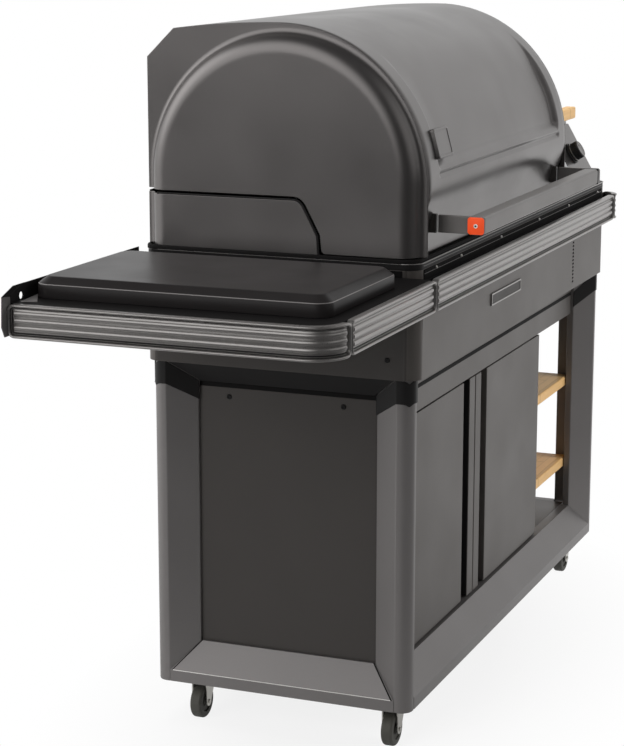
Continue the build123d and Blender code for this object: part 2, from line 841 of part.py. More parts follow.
# Side profiles of the barrel, drawn in Y and Z
def lid_outline(inset=0.0):
    """Closed side profile of the lid, carried on below its foot."""
    middle = ARCH_RADIUS / 2**0.5
    with BuildSketch(mode=Mode.PRIVATE) as outline:
        with BuildLine():
            Line((LID_FRONT, OUTLINE_FOOT), (LID_FRONT, ARCH_Z))
            ThreePointArc((LID_FRONT, ARCH_Z), (ARCH_Y - middle, ARCH_Z + middle), (ARCH_Y, LID_TOP))
            TangentArc((ARCH_Y, LID_TOP), (LID_CHAMFER_Y, LID_CHAMFER_TOP), tangent=(1, 0))
            Polyline(
                (LID_CHAMFER_Y, LID_CHAMFER_TOP),
                (LID_REAR, LID_CHAMFER_Z),
                (LID_REAR, OUTLINE_FOOT),
                (LID_FRONT, OUTLINE_FOOT),
            )
        make_face()
        if inset:
            offset(amount=-inset, kind=Kind.INTERSECTION)
    return outline.sketch


def dome_outline(inset=0.0):
    """Arched outline of the domed field pressed into each barrel end."""
    centre = (DOME_FRONT + DOME_REAR) / 2
    radius = (DOME_REAR - DOME_FRONT) / 2 - inset
    spring = DOME_TOP - inset - radius
    with BuildSketch(mode=Mode.PRIVATE) as outline:
        with BuildLine():
            Line((centre - radius, OUTLINE_FOOT), (centre - radius, spring))
            ThreePointArc(
                (centre - radius, spring), (centre, spring + radius), (centre + radius, spring)
            )
            Polyline(
                (centre + radius, spring),
                (centre + radius, OUTLINE_FOOT),
                (centre - radius, OUTLINE_FOOT),
            )
        make_face()
    return outline.sketch


def fixed_region(grow=0.0):
    """Part of the barrel's side view that stays with the cabinet when the lid opens."""
    far = LID_REAR + ARCH_RADIUS
    with BuildSketch(mode=Mode.PRIVATE) as region:
        add(
            polygon(
                [
                    (far, SEAM_Z),
                    (SEAM_STEP_Y, SEAM_Z),
                    SEAM_KNEE,
                    (SEAM_FOOT_Y, DECK_TOP),
                    (SEAM_FOOT_Y, OUTLINE_FOOT - ARCH_RADIUS),
                    (far, OUTLINE_FOOT - ARCH_RADIUS),
                ]
            )
        )
        step = region.vertices().sort_by_distance((SEAM_STEP_Y, SEAM_Z))[0]
        fillet(step, radius=SEAM_ROUND)
        if grow:
            offset(amount=grow, kind=Kind.INTERSECTION)
    return region.sketch


def barrel_end():
    """Pressed left end of the whole barrel: a flat flange with a hollow dome standing out of it."""
    face = SKIN_LEFT - LID_WALL
    outer = SKIN_LEFT - DOME_DEPTH
    with BuildPart() as dome:
        span_x(dome_outline(), outer, face)
        rim = dome.faces().sort_by(Axis.X)[0].edges()
        fillet(rim.filter_by_position(Axis.Z, OUTLINE_FOOT + SHEET, LID_TOP), radius=DOME_FILLET)
    with BuildPart() as hollow:
        span_x(dome_outline(LID_WALL), outer + LID_WALL, SKIN_LEFT)
        rim = hollow.faces().sort_by(Axis.X)[0].edges()
        fillet(
            rim.filter_by_position(Axis.Z, OUTLINE_FOOT + SHEET, LID_TOP),
            radius=DOME_FILLET - LID_WALL,
        )
    with BuildPart() as end:
        span_x(lid_outline(), face, SKIN_LEFT)
        add(dome.part)
        add(hollow.part, mode=Mode.SUBTRACT)
    return end.part


BARREL_END = barrel_end()
END_SPAN = (SKIN_LEFT - DOME_DEPTH, SKIN_LEFT)
FAR = 2 * ARCH_RADIUS

# Fixed shell of the barrel: two pressed ends and the wall behind the tub
with BuildPart() as barrel_shell:
    add(BARREL_END)
    span_x(fixed_region(), *END_SPAN, mode=Mode.INTERSECT)
    block(END_SPAN, (-FAR, FAR), (DECK_TOP - FAR, DECK_TOP), mode=Mode.SUBTRACT)
    mirror(about=Plane.YZ.offset(LID_MID_X))
    block((SKIN_LEFT, SKIN_RIGHT), (LID_REAR - SHEET, LID_REAR), (DECK_TOP, SEAM_Z))
keep(barrel_shell, "barrel_shell")

# Lid: a rolled skin with a raised plate on its front, and two pressed ends
PLATE_TILT = asin((sum(PLATE_Z) / 2 - ARCH_Z) / ARCH_RADIUS)
PLATE_OUT = (0, -cos(PLATE_TILT), sin(PLATE_TILT))
PLATE_CENTRE = (
    sum(PLATE_X) / 2,
    ARCH_Y + PLATE_OUT[1] * (ARCH_RADIUS - PLATE_SINK),
    ARCH_Z + PLATE_OUT[2] * (ARCH_RADIUS - PLATE_SINK),
)

with BuildPart() as lid_skin:
    span_x(lid_outline(), SKIN_LEFT, SKIN_RIGHT)
    span_x(lid_outline(LID_WALL), SKIN_LEFT, SKIN_RIGHT, mode=Mode.SUBTRACT)
    block((SKIN_LEFT, SKIN_RIGHT), (-FAR, 0), (0, LID_FOOT), mode=Mode.SUBTRACT)
    block((SKIN_LEFT, SKIN_RIGHT), (0, FAR), (0, SEAM_Z + SEAM_GAP), mode=Mode.SUBTRACT)
    with BuildSketch(Plane(origin=PLATE_CENTRE, x_dir=(1, 0, 0), z_dir=PLATE_OUT)):
        RectangleRounded(
            PLATE_X[1] - PLATE_X[0],
            (PLATE_Z[1] - PLATE_Z[0]) / cos(PLATE_TILT),
            PLATE_ROUND,
        )
    extrude(amount=PLATE_SINK + PLATE_RISE)
keep(lid_skin, "lid_skin")

with BuildPart() as lid_left_end:
    add(BARREL_END)
    span_x(fixed_region(SEAM_GAP), *END_SPAN, mode=Mode.SUBTRACT)
    block(END_SPAN, (-FAR, 0), (0, LID_FOOT), mode=Mode.SUBTRACT)
keep(lid_left_end, "lid_left_end")

with BuildPart() as lid_right_end:
    mirror(lid_left_end.part, about=Plane.YZ.offset(LID_MID_X))
keep(lid_right_end, "lid_right_end")

# Lid hinges: outer knuckles on the rear wall, a middle knuckle on the lid
def hinge_leaf(centre, knuckle_starts, leaf_foot, web_span):
    """Leaf plate on the rear face with its knuckles round the pin."""
    block(
        (centre - LEAF_WIDTH / 2, centre + LEAF_WIDTH / 2),
        (LID_REAR, LID_REAR + LEAF_THICKNESS),
        (leaf_foot, leaf_foot + LEAF_HEIGHT),
    )
    for start in knuckle_starts:
        x_span = (centre + start, centre + start + KNUCKLE_LENGTH - KNUCKLE_GAP)
        block(x_span, (LID_REAR, HINGE_Y), web_span)
        rod((x_span[0], HINGE_Y, HINGE_Z), (1, 0, 0), KNUCKLE_RADIUS, x_span[1] - x_span[0])
        rod(
            (x_span[0], HINGE_Y, HINGE_Z),
            (1, 0, 0),
            HINGE_PIN_RADIUS + RUNNING_GAP,
            x_span[1] - x_span[0],
            mode=Mode.SUBTRACT,
        )


with BuildPart() as wall_hinge_leaves:
    for centre in HINGE_CENTRES:
        hinge_leaf(
            centre,
            ((KNUCKLE_GAP - 3 * KNUCKLE_LENGTH) / 2, (KNUCKLE_GAP + KNUCKLE_LENGTH) / 2),
            SEAM_Z - LEAF_HEIGHT - KNUCKLE_GAP,
            (HINGE_Z - KNUCKLE_RADIUS, HINGE_Z - HINGE_PIN_RADIUS - WEB_GAP),
        )
keep(wall_hinge_leaves, "wall_hinge_leaves")

with BuildPart() as lid_hinge_leaves:
    for centre in HINGE_CENTRES:
        hinge_leaf(
            centre,
            ((KNUCKLE_GAP - KNUCKLE_LENGTH) / 2,),
            SEAM_Z + SEAM_GAP + LEAF_THICKNESS,
            (HINGE_Z + HINGE_PIN_RADIUS + WEB_GAP, HINGE_Z + KNUCKLE_RADIUS + LEAF_THICKNESS),
        )
keep(lid_hinge_leaves, "lid_hinge_leaves")

# Lid handle: a square tube on two arms, closed by coloured caps
with BuildPart() as lid_handle:
    bar_y = (HANDLE_FRONT, HANDLE_FRONT + HANDLE_SIZE)
    bar_z = (HANDLE_FOOT, HANDLE_FOOT + HANDLE_SIZE)
    span_x(rounded_rectangle(bar_y, bar_z, HANDLE_ROUND), HANDLE_LEFT, HANDLE_RIGHT)
    span_x(
        rounded_rectangle(
            (bar_y[0] + HANDLE_WALL, bar_y[1] - HANDLE_WALL),
            (bar_z[0] + HANDLE_WALL, bar_z[1] - HANDLE_WALL),
            HANDLE_ROUND - HANDLE_WALL,
        ),
        HANDLE_LEFT,
        HANDLE_RIGHT,
        mode=Mode.SUBTRACT,
    )
    for arm_start in (HANDLE_LEFT, HANDLE_RIGHT - HANDLE_ARM):
        arm_x = (arm_start, arm_start + HANDLE_ARM)
        block(arm_x, (HANDLE_FRONT + HANDLE_SIZE - HANDLE_WALL, LID_FRONT), bar_z)
keep(lid_handle, "lid_handle")

with BuildPart() as handle_end_caps:
    cap_face = rounded_rectangle(bar_y, bar_z, HANDLE_ROUND)
    span_x(cap_face, HANDLE_LEFT - CAP_DEPTH, HANDLE_LEFT)
    span_x(cap_face, HANDLE_RIGHT, HANDLE_RIGHT + CAP_DEPTH)
keep(handle_end_caps, "handle_end_caps")

# Cooking surfaces
GRATE_FOOT = DECK_TOP + TUB_FLANGE_THICKNESS
GRATE_THICKNESS = 6
GRATE_BAR = 6
GRATE_BARS = 36
GRATE_LAP = 5
RACK_FOOT = 1062
RACK_BARS = 32
RACK_INSET = 30
RACK_Y = (30, 250)
TRAY_INSET = 12
TRAY_FOOT = 872
TRAY_THICKNESS = 2
TRAY_LEG_INSET = 40
TRAY_LEG_RADIUS = 6


def bar_grid(x_span, y_span, count):
    """A rim with bars along Y, drawn in X and Y."""
    mid = ((x_span[0] + x_span[1]) / 2, (y_span[0] + y_span[1]) / 2)
    width = x_span[1] - x_span[0]
    depth = y_span[1] - y_span[0]
    with BuildSketch(mode=Mode.PRIVATE) as grid:
        with Locations(mid):
            Rectangle(width, depth)
            Rectangle(width - 2 * GRATE_BAR, depth - 2 * GRATE_BAR, mode=Mode.SUBTRACT)
            Rectangle(width, GRATE_BAR)
            with GridLocations(width / (count + 1), 0, count, 1):
                Rectangle(GRATE_BAR, depth)
    return grid.sketch


with BuildPart() as cooking_grate:
    span_z(
        bar_grid(
            (TUB_LEFT - GRATE_LAP, TUB_RIGHT + GRATE_LAP),
            (TUB_FRONT - GRATE_LAP, TUB_REAR + GRATE_LAP),
            GRATE_BARS,
        ),
        GRATE_FOOT,
        GRATE_FOOT + GRATE_THICKNESS,
    )
keep(cooking_grate, "cooking_grate")

with BuildPart() as upper_rack:
    rack_x = (TUB_LEFT + RACK_INSET, TUB_RIGHT - RACK_INSET)
    span_z(bar_grid(rack_x, RACK_Y, RACK_BARS), RACK_FOOT, RACK_FOOT + GRATE_THICKNESS)
    leg_inset = GRATE_BAR / 2
    for leg_x in (rack_x[0] + leg_inset, rack_x[1] - leg_inset):
        for leg_y in (RACK_Y[0] + leg_inset, RACK_Y[1] - leg_inset):
            leg_foot = (leg_x, leg_y, GRATE_FOOT + GRATE_THICKNESS)
            leg_length = RACK_FOOT + leg_inset - leg_foot[2]
            rod(leg_foot, (0, 0, 1), leg_inset - FIT_GAP, leg_length)
keep(upper_rack, "upper_rack")

with BuildPart() as drip_tray:
    tray_x = (TUB_LEFT + TRAY_INSET, TUB_RIGHT - TRAY_INSET)
    tray_y = (TUB_FRONT + TRAY_INSET, TUB_REAR - TRAY_INSET)
    leg_foot = TUB_FOOT + SHEET
    block(tray_x, tray_y, (TRAY_FOOT, TRAY_FOOT + TRAY_THICKNESS))
    for leg_x in (tray_x[0] + TRAY_LEG_INSET, tray_x[1] - TRAY_LEG_INSET):
        for leg_y in (tray_y[0] + TRAY_LEG_INSET, tray_y[1] - TRAY_LEG_INSET):
            rod((leg_x, leg_y, leg_foot), (0, 0, 1), TRAY_LEG_RADIUS, TRAY_FOOT - leg_foot)
keep(drip_tray, "drip_tray")

# Fire pot, auger and fan
with BuildPart() as fire_pot:
    pot_foot = (FIRE_X, FIRE_Y, TUB_FOOT + SHEET)
    rod(pot_foot, (0, 0, 1), POT_RADIUS, POT_HEIGHT)
    rod(
        (FIRE_X, FIRE_Y, TUB_FOOT + 2 * SHEET),
        (0, 0, 1),
        POT_RADIUS - SHEET,
        POT_HEIGHT,
        mode=Mode.SUBTRACT,
    )
    rod(
        (FIRE_X, FIRE_Y, AUGER_Z),
        (1, 0, 0),
        AUGER_TUBE_RADIUS - AUGER_TUBE_WALL,
        POT_RADIUS + FIRE_GAP,
        mode=Mode.SUBTRACT,
    )
keep(fire_pot, "fire_pot")

AUGER_START = FIRE_X + POT_RADIUS + FIRE_GAP

with BuildPart() as auger_tube:
    tube_start = (AUGER_START, FIRE_Y, AUGER_Z)
    tube_length = AUGER_END - AUGER_START
    rod(tube_start, (1, 0, 0), AUGER_TUBE_RADIUS, tube_length)
    rod(tube_start, (1, 0, 0), AUGER_TUBE_RADIUS - AUGER_TUBE_WALL, tube_length, mode=Mode.SUBTRACT)
    block(
        (CHUTE_LEFT + 2 * SHEET, CHUTE_RIGHT - 2 * SHEET),
        (FIRE_Y - FEED_SLOT_HALF, FIRE_Y + FEED_SLOT_HALF),
        (AUGER_Z + FEED_SLOT_FOOT, AUGER_Z + AUGER_TUBE_RADIUS),
        mode=Mode.SUBTRACT,
    )
keep(auger_tube, "auger_tube")

with BuildPart() as auger_screw:
    flight_start = (AUGER_START + FLIGHT_SETBACK, FIRE_Y, AUGER_Z)
    with BuildLine():
        flight_path = Helix(
            AUGER_PITCH,
            AUGER_PITCH * AUGER_TURNS,
            AUGER_SHAFT_RADIUS - FLIGHT_ROOT,
            center=flight_start,
            direction=(1, 0, 0),
        )
    flight_depth = AUGER_FLIGHT_RADIUS - AUGER_SHAFT_RADIUS + FLIGHT_ROOT
    outward = (flight_path @ 0) - Vector(*flight_start)
    with BuildSketch(Plane(origin=flight_path @ 0, x_dir=outward, z_dir=flight_path % 0)):
        Rectangle(flight_depth, FLIGHT_THICKNESS, align=(Align.MIN, Align.CENTER))
    sweep(path=flight_path, is_frenet=True)
    shaft_length = AUGER_END - AUGER_START + SHAFT_TAIL
    rod((AUGER_START + SHAFT_SETBACK, FIRE_Y, AUGER_Z), (1, 0, 0), AUGER_SHAFT_RADIUS, shaft_length)
keep(auger_screw, "auger_screw")

with BuildPart() as auger_motor:
    block(
        (AUGER_END, AUGER_MOTOR_END),
        (FIRE_Y - MOTOR_HALF, FIRE_Y + MOTOR_HALF),
        (AUGER_Z - MOTOR_HALF, AUGER_Z + MOTOR_HALF),
    )
    block(
        (AUGER_END + MOTOR_FOOT_INSET, AUGER_MOTOR_END - MOTOR_FOOT_INSET),
        (FIRE_Y - MOTOR_FOOT_HALF, FIRE_Y + MOTOR_FOOT_HALF),
        (POST_TOP + SHEET, AUGER_Z),
    )
    rod(
        (AUGER_END, FIRE_Y, AUGER_Z),
        (1, 0, 0),
        AUGER_SHAFT_RADIUS + RUNNING_GAP,
        MOTOR_BORE,
        mode=Mode.SUBTRACT,
    )
keep(auger_motor, "auger_motor")

FAN_FOOT = POST_TOP + SHEET
FAN_HUB_RADIUS = 14
FAN_WHEEL_RADIUS = 62
FAN_WHEEL_HEIGHT = 36
FAN_BLADES = 12
FAN_WALL = 2
FAN_INLET_RADIUS = 40
FAN_LIFT = 8
BLADE_CHORD = 20
BLADE_SETBACK = 12
BLADE_ANGLE = 35

with BuildPart() as fan_housing:
    fan_inside = FAN_FOOT + FAN_WALL
    fan_cover = FAN_FOOT + FAN_HEIGHT - FAN_WALL
    rod((FAN_X, FAN_Y, FAN_FOOT), (0, 0, 1), FAN_RADIUS, FAN_HEIGHT)
    rod(
        (FAN_X, FAN_Y, fan_inside),
        (0, 0, 1),
        FAN_RADIUS - FAN_WALL,
        fan_cover - fan_inside,
        mode=Mode.SUBTRACT,
    )
    rod((FAN_X, FAN_Y, fan_cover), (0, 0, 1), FAN_INLET_RADIUS, FAN_WALL, mode=Mode.SUBTRACT)
    rod((FAN_X, FAN_Y, FAN_FOOT), (0, 0, 1), AXLE_RADIUS, FAN_HEIGHT - FAN_LIFT)
keep(fan_housing, "fan_housing")

with BuildPart() as fan_wheel:
    fan_hub = (FAN_X, FAN_Y, FAN_FOOT + FAN_LIFT)
    rod(fan_hub, (0, 0, 1), FAN_WHEEL_RADIUS, FAN_WALL)
    rod(fan_hub, (0, 0, 1), FAN_HUB_RADIUS, FAN_WHEEL_HEIGHT)
    with Locations(fan_hub):
        with PolarLocations(FAN_WHEEL_RADIUS - BLADE_SETBACK, FAN_BLADES):
            Box(
                BLADE_CHORD,
                FAN_WALL,
                FAN_WHEEL_HEIGHT,
                rotation=(0, 0, BLADE_ANGLE),
                align=(Align.CENTER, Align.CENTER, Align.MIN),
            )
    rod(fan_hub, (0, 0, 1), AXLE_RADIUS + RUNNING_GAP, FAN_WHEEL_HEIGHT, mode=Mode.SUBTRACT)
keep(fan_wheel, "fan_wheel")

# Grease keg, hung under the housing
with BuildPart() as grease_keg:
    rod((KEG_X, FIRE_Y, KEG_FOOT), (0, 0, 1), KEG_RADIUS, POST_TOP - KEG_FOOT)
    fillet(grease_keg.edges().group_by(Axis.Z)[0], radius=KEG_ROUND)
    rod((KEG_X, FIRE_Y, POST_TOP - KEG_RIM), (0, 0, 1), KEG_RADIUS + KEG_LIP, KEG_RIM)
    rod(
        (KEG_X, FIRE_Y, KEG_FOOT + SHEET),
        (0, 0, 1),
        KEG_RADIUS - SHEET,
        POST_TOP - KEG_FOOT,
        mode=Mode.SUBTRACT,
    )
keep(grease_keg, "grease_keg")

# Hopper bin with its chute, and the sloping controller in front of it
with BuildPart() as hopper_bin:
    block((HOPPER_LEFT, HOPPER_RIGHT), (HOPPER_FRONT, HOPPER_REAR), (DECK_TOP, HOPPER_TOP))
    block(
        (CHUTE_LEFT, CHUTE_RIGHT),
        (FIRE_Y - CHUTE_HALF, FIRE_Y + CHUTE_HALF),
        (CHUTE_FOOT, DECK_TOP),
    )
    block(
        (HOPPER_LEFT + SHEET, HOPPER_RIGHT - SHEET),
        (HOPPER_FRONT + SHEET, HOPPER_REAR - SHEET),
        (DECK_TOP + SHEET, HOPPER_TOP),
        mode=Mode.SUBTRACT,
    )
    block(
        (CHUTE_LEFT + SHEET, CHUTE_RIGHT - SHEET),
        (FIRE_Y - CHUTE_HALF + SHEET, FIRE_Y + CHUTE_HALF - SHEET),
        (CHUTE_FOOT, DECK_TOP + SHEET),
        mode=Mode.SUBTRACT,
    )
    for start in (HOPPER_LEFT + KNUCKLE_LENGTH, HOPPER_RIGHT - 2 * KNUCKLE_LENGTH):
        x_span = (start, start + KNUCKLE_LENGTH)
        web_top = HOPPER_HINGE_Z - HINGE_PIN_RADIUS - WEB_GAP
        block(x_span, (HOPPER_REAR, HOPPER_HINGE_Y), (HOPPER_HINGE_Z - KNUCKLE_RADIUS, web_top))
        rod((start, HOPPER_HINGE_Y, HOPPER_HINGE_Z), (1, 0, 0), KNUCKLE_RADIUS, KNUCKLE_LENGTH)
        rod(
            (start, HOPPER_HINGE_Y, HOPPER_HINGE_Z),
            (1, 0, 0),
            HINGE_PIN_RADIUS + RUNNING_GAP,
            KNUCKLE_LENGTH,
            mode=Mode.SUBTRACT,
        )
keep(hopper_bin, "hopper_bin")

SLOPE_RUN = CONTROL_TOP_Y - CONTROL_FOOT_Y
SLOPE_RISE = CONTROL_TOP_Z - DECK_TOP
SLOPE_LENGTH = hypot(SLOPE_RUN, SLOPE_RISE)
UP_SLOPE = (0, SLOPE_RUN / SLOPE_LENGTH, SLOPE_RISE / SLOPE_LENGTH)
OUT_OF_SLOPE = (0, -UP_SLOPE[2], UP_SLOPE[1])


def slope_plane(x, along, out=0.0):
    """Plane on the controller's face, with its first axis along X."""
    origin = (
        x,
        CONTROL_FOOT_Y + UP_SLOPE[1] * along + OUT_OF_SLOPE[1] * out,
        DECK_TOP + UP_SLOPE[2] * along + OUT_OF_SLOPE[2] * out,
    )
    return Plane(origin=origin, x_dir=(1, 0, 0), z_dir=OUT_OF_SLOPE)


def control_section(inset=0.0):
    """Wedge between the deck, the sloping face and the hopper's front."""
    with BuildSketch(mode=Mode.PRIVATE) as section:
        add(
            polygon(
                [
                    (CONTROL_FOOT_Y, DECK_TOP),
                    (CONTROL_TOP_Y, CONTROL_TOP_Z),
                    (HOPPER_FRONT, CONTROL_TOP_Z),
                    (HOPPER_FRONT, DECK_TOP),
                ]
            )
        )
        if inset:
            offset(amount=-inset, kind=Kind.INTERSECTION)
    return section.sketch


with BuildPart() as control_housing:
    span_x(control_section(), HOPPER_LEFT, HOPPER_RIGHT)
    span_x(
        control_section(SHEET),
        HOPPER_LEFT + SHEET,
        HOPPER_RIGHT - SHEET,
        mode=Mode.SUBTRACT,
    )
    with Locations(slope_plane(DIAL_X, DIAL_ALONG)):
        Cylinder(AXLE_RADIUS + RUNNING_GAP, 4 * SHEET, mode=Mode.SUBTRACT)
keep(control_housing, "control_housing")

with BuildPart() as control_dial:
    with BuildSketch(slope_plane(DIAL_X, DIAL_ALONG, DIAL_GAP)):
        Circle(DIAL_RADIUS)
    extrude(amount=DIAL_HEIGHT)
    dial_front = control_dial.faces().filter_by(GeomType.PLANE).sort_by(Axis.Z)[-1]
    fillet(dial_front.edges(), radius=EDGE_ROUND)
    with BuildSketch(slope_plane(DIAL_X, DIAL_ALONG, DIAL_GAP)):
        Circle(DIAL_SKIRT_RADIUS)
    extrude(amount=DIAL_SKIRT)
    with BuildSketch(slope_plane(DIAL_X, DIAL_ALONG, DIAL_GAP)):
        Circle(AXLE_RADIUS)
    extrude(amount=-DIAL_SPINDLE)
keep(control_dial, "control_dial")

with BuildPart() as display_panel:
    with BuildSketch(slope_plane(DISPLAY_X, DIAL_ALONG)):
        RectangleRounded(DISPLAY_WIDTH, DISPLAY_HEIGHT, DISPLAY_ROUND)
    extrude(amount=DISPLAY_THICKNESS)
keep(display_panel, "display_panel")

# Hopper lid with its wooden grip
HOPPER_LID_FOOT = HOPPER_TOP + HOPPER_LID_GAP
HOPPER_LID_FRONT = HOPPER_FRONT - HOPPER_LID_GAP
with BuildPart() as hopper_lid:
    block(
        (HOPPER_LEFT - HOPPER_LID_LAP, HOPPER_RIGHT + HOPPER_LID_LAP),
        (HOPPER_LID_FRONT, HOPPER_REAR - HOPPER_LID_GAP),
        (HOPPER_LID_FOOT, HOPPER_LID_FOOT + HOPPER_LID_THICKNESS),
    )
    inner_start = 2 * KNUCKLE_LENGTH + KNUCKLE_GAP
    for start in (HOPPER_LEFT + inner_start, HOPPER_RIGHT - inner_start - KNUCKLE_LENGTH):
        x_span = (start, start + KNUCKLE_LENGTH)
        rod((start, HOPPER_HINGE_Y, HOPPER_HINGE_Z), (1, 0, 0), KNUCKLE_RADIUS, KNUCKLE_LENGTH)
        block(
            x_span,
            (HOPPER_REAR - 2 * HOPPER_LID_GAP, HOPPER_HINGE_Y),
            (HOPPER_HINGE_Z, HOPPER_LID_FOOT + HOPPER_LID_THICKNESS),
        )
        rod(
            (start, HOPPER_HINGE_Y, HOPPER_HINGE_Z),
            (1, 0, 0),
            HINGE_PIN_RADIUS + RUNNING_GAP,
            KNUCKLE_LENGTH,
            mode=Mode.SUBTRACT,
        )
keep(hopper_lid, "hopper_lid")

with BuildPart() as hopper_lid_grip:
    block(
        (HOPPER_LEFT + GRIP_INSET, HOPPER_RIGHT - GRIP_INSET),
        (HOPPER_LID_FRONT - GRIP_DEPTH, HOPPER_LID_FRONT),
        (HOPPER_LID_FOOT, HOPPER_LID_FOOT + GRIP_HEIGHT),
    )
    fillet(hopper_lid_grip.edges().filter_by(Axis.X), radius=GRIP_ROUND)
keep(hopper_lid_grip, "hopper_lid_grip")


# Accessory rails: bordered, with convex ribs along a sunk field
def rail_section():
    """Rail section; first axis runs out from the rail's back, second is height."""
    field_foot = RAIL_FOOT + RAIL_BORDER
    pitch = (RAIL_TOP - RAIL_FOOT - 2 * RAIL_BORDER) / RAIL_RIBS
    with BuildSketch(mode=Mode.PRIVATE) as section:
        with Locations((0, RAIL_FOOT)):
            Rectangle(RAIL_FIELD, RAIL_TOP - RAIL_FOOT, align=(Align.MIN, Align.MIN))
        for border_foot in (RAIL_FOOT, RAIL_TOP - RAIL_BORDER):
            with Locations((0, border_foot)):
                Rectangle(RAIL_THICKNESS, RAIL_BORDER, align=(Align.MIN, Align.MIN))
        with Locations(*[(RAIL_FIELD, field_foot + pitch * (n + 0.5)) for n in range(RAIL_RIBS)]):
            Circle(RAIL_RIB_RADIUS)
    return section.sketch


def straight_rail(name, start, end):
    """A front rail piece with a border at each end."""
    with BuildPart() as rail:
        with BuildSketch(Plane(origin=(end, RAIL_BACK_Y, 0), x_dir=(0, -1, 0), z_dir=(-1, 0, 0))):
            add(rail_section())
        extrude(amount=end - start)
        for x in (start, end - RAIL_BORDER):
            block(
                (x, x + RAIL_BORDER),
                (RAIL_BACK_Y - RAIL_THICKNESS, RAIL_BACK_Y),
                (RAIL_FOOT, RAIL_TOP),
            )
    keep(rail, name)


straight_rail("front_rail", RAIL_SPLIT + RAIL_JOINT / 2, RIGHT_RAIL_START - RAIL_JOINT)
straight_rail("shelf_front_rail", SIDE_RAIL_END + RAIL_JOINT, RAIL_SPLIT - RAIL_JOINT / 2)

with BuildPart() as side_rail:
    with BuildLine():
        rail_path = FilletPolyline(
            (SHELF_LEFT, RAIL_REAR, 0),
            (SHELF_LEFT, RAIL_BACK_Y, 0),
            (SIDE_RAIL_END, RAIL_BACK_Y, 0),
            radius=RAIL_CORNER,
        )
    with BuildSketch(Plane(origin=(SHELF_LEFT, RAIL_REAR, 0), x_dir=(-1, 0, 0), z_dir=(0, 1, 0))):
        add(rail_section())
    sweep(path=rail_path)
    block(
        (SHELF_LEFT - RAIL_THICKNESS, SHELF_LEFT),
        (RAIL_REAR - RAIL_BORDER, RAIL_REAR),
        (RAIL_FOOT, RAIL_TOP),
    )
    block(
        (SIDE_RAIL_END - RAIL_BORDER, SIDE_RAIL_END),
        (RAIL_BACK_Y - RAIL_THICKNESS, RAIL_BACK_Y),
        (RAIL_FOOT, RAIL_TOP),
    )
keep(side_rail, "side_rail")

RIGHT_RAIL_BACK = -SHELF_LEFT
with BuildPart() as right_corner_rail:
    with BuildLine():
        corner_path = FilletPolyline(
            (RIGHT_RAIL_START, RAIL_BACK_Y, 0),
            (RIGHT_RAIL_BACK, RAIL_BACK_Y, 0),
            (RIGHT_RAIL_BACK, RAIL_BACK_Y + RIGHT_CORNER + RIGHT_RETURN, 0),
            radius=RIGHT_CORNER,
        )
    corner_start = (RIGHT_RAIL_START, RAIL_BACK_Y, 0)
    with BuildSketch(Plane(origin=corner_start, x_dir=(0, -1, 0), z_dir=(-1, 0, 0))):
        add(rail_section())
    sweep(path=corner_path)
keep(right_corner_rail, "right_corner_rail")

with BuildPart() as rail_channel:
    block(
        (RAIL_SPLIT + RAIL_JOINT / 2, RIGHT_RAIL_BACK - RIGHT_CORNER),
        (RAIL_BACK_Y, HOUSING_FRONT),
        (RAIL_FOOT + CHANNEL_LIFT, RAIL_FOOT + CHANNEL_LIFT + DECK_PLATE),
    )
    block(
        (RAIL_SPLIT + RAIL_JOINT / 2, RIGHT_RAIL_BACK - RIGHT_CORNER),
        (HOUSING_FRONT - DECK_PLATE, HOUSING_FRONT),
        (RAIL_FOOT + CHANNEL_LIFT, RAIL_TOP - RAIL_BORDER),
    )
keep(rail_channel, "rail_channel")

# Side shelf, open below, and its rear guard
with BuildPart() as side_shelf:
    shelf_corners = [
        (SHELF_LEFT, RAIL_BACK_Y),
        (HOUSING_LEFT, RAIL_BACK_Y),
        (HOUSING_LEFT, SHELF_REAR),
        (SHELF_LEFT, SHELF_REAR),
    ]
    with BuildSketch(Plane.XY.offset(SHELF_FOOT)) as plan:
        add(polygon(shelf_corners))
        fillet(plan.vertices().sort_by_distance((SHELF_LEFT, RAIL_BACK_Y))[0], radius=RAIL_CORNER)
    extrude(amount=SHELF_TOP - SHELF_FOOT)
    with BuildSketch(Plane.XY.offset(SHELF_FOOT)):
        add(plan.sketch_local)
        offset(amount=-SHEET, kind=Kind.INTERSECTION)
    extrude(amount=SHELF_TOP - SHELF_FOOT - SHEET, mode=Mode.SUBTRACT)
    block(
        (UNIT_X[0] - FIT_GAP, UNIT_X[1] + FIT_GAP),
        (UNIT_Y[0] - FIT_GAP, UNIT_Y[1] + FIT_GAP),
        (SHELF_FOOT, SHELF_TOP),
        mode=Mode.SUBTRACT,
    )
keep(side_shelf, "side_shelf")

with BuildPart() as shelf_rear_guard:
    guard = polygon(
        [
            (SHELF_LEFT, SHELF_FOOT),
            (SHELF_LEFT, GUARD_TOP - GUARD_SLOPE),
            (SHELF_LEFT + GUARD_CHAMFER, GUARD_TOP),
            (HOUSING_LEFT, GUARD_TOP),
            (HOUSING_LEFT, SHELF_FOOT),
        ]
    )
    span_y(guard, SHELF_REAR, SHELF_REAR + GUARD_THICKNESS)
    rod(
        (GUARD_HOLE_X, SHELF_REAR, GUARD_HOLE_Z),
        (0, 1, 0),
        GUARD_HOLE_RADIUS,
        GUARD_THICKNESS,
        mode=Mode.SUBTRACT,
    )
keep(shelf_rear_guard, "shelf_rear_guard")

# Cooktop under its lift-off cover
with BuildPart() as induction_unit:
    block(UNIT_X, UNIT_Y, (UNIT_FOOT, SHELF_TOP))
    block(
        (UNIT_X[0] + SHEET, UNIT_X[1] - SHEET),
        (UNIT_Y[0] + SHEET, UNIT_Y[1] - SHEET),
        (UNIT_FOOT, SHELF_TOP - SHEET),
        mode=Mode.SUBTRACT,
    )
keep(induction_unit, "induction_unit")

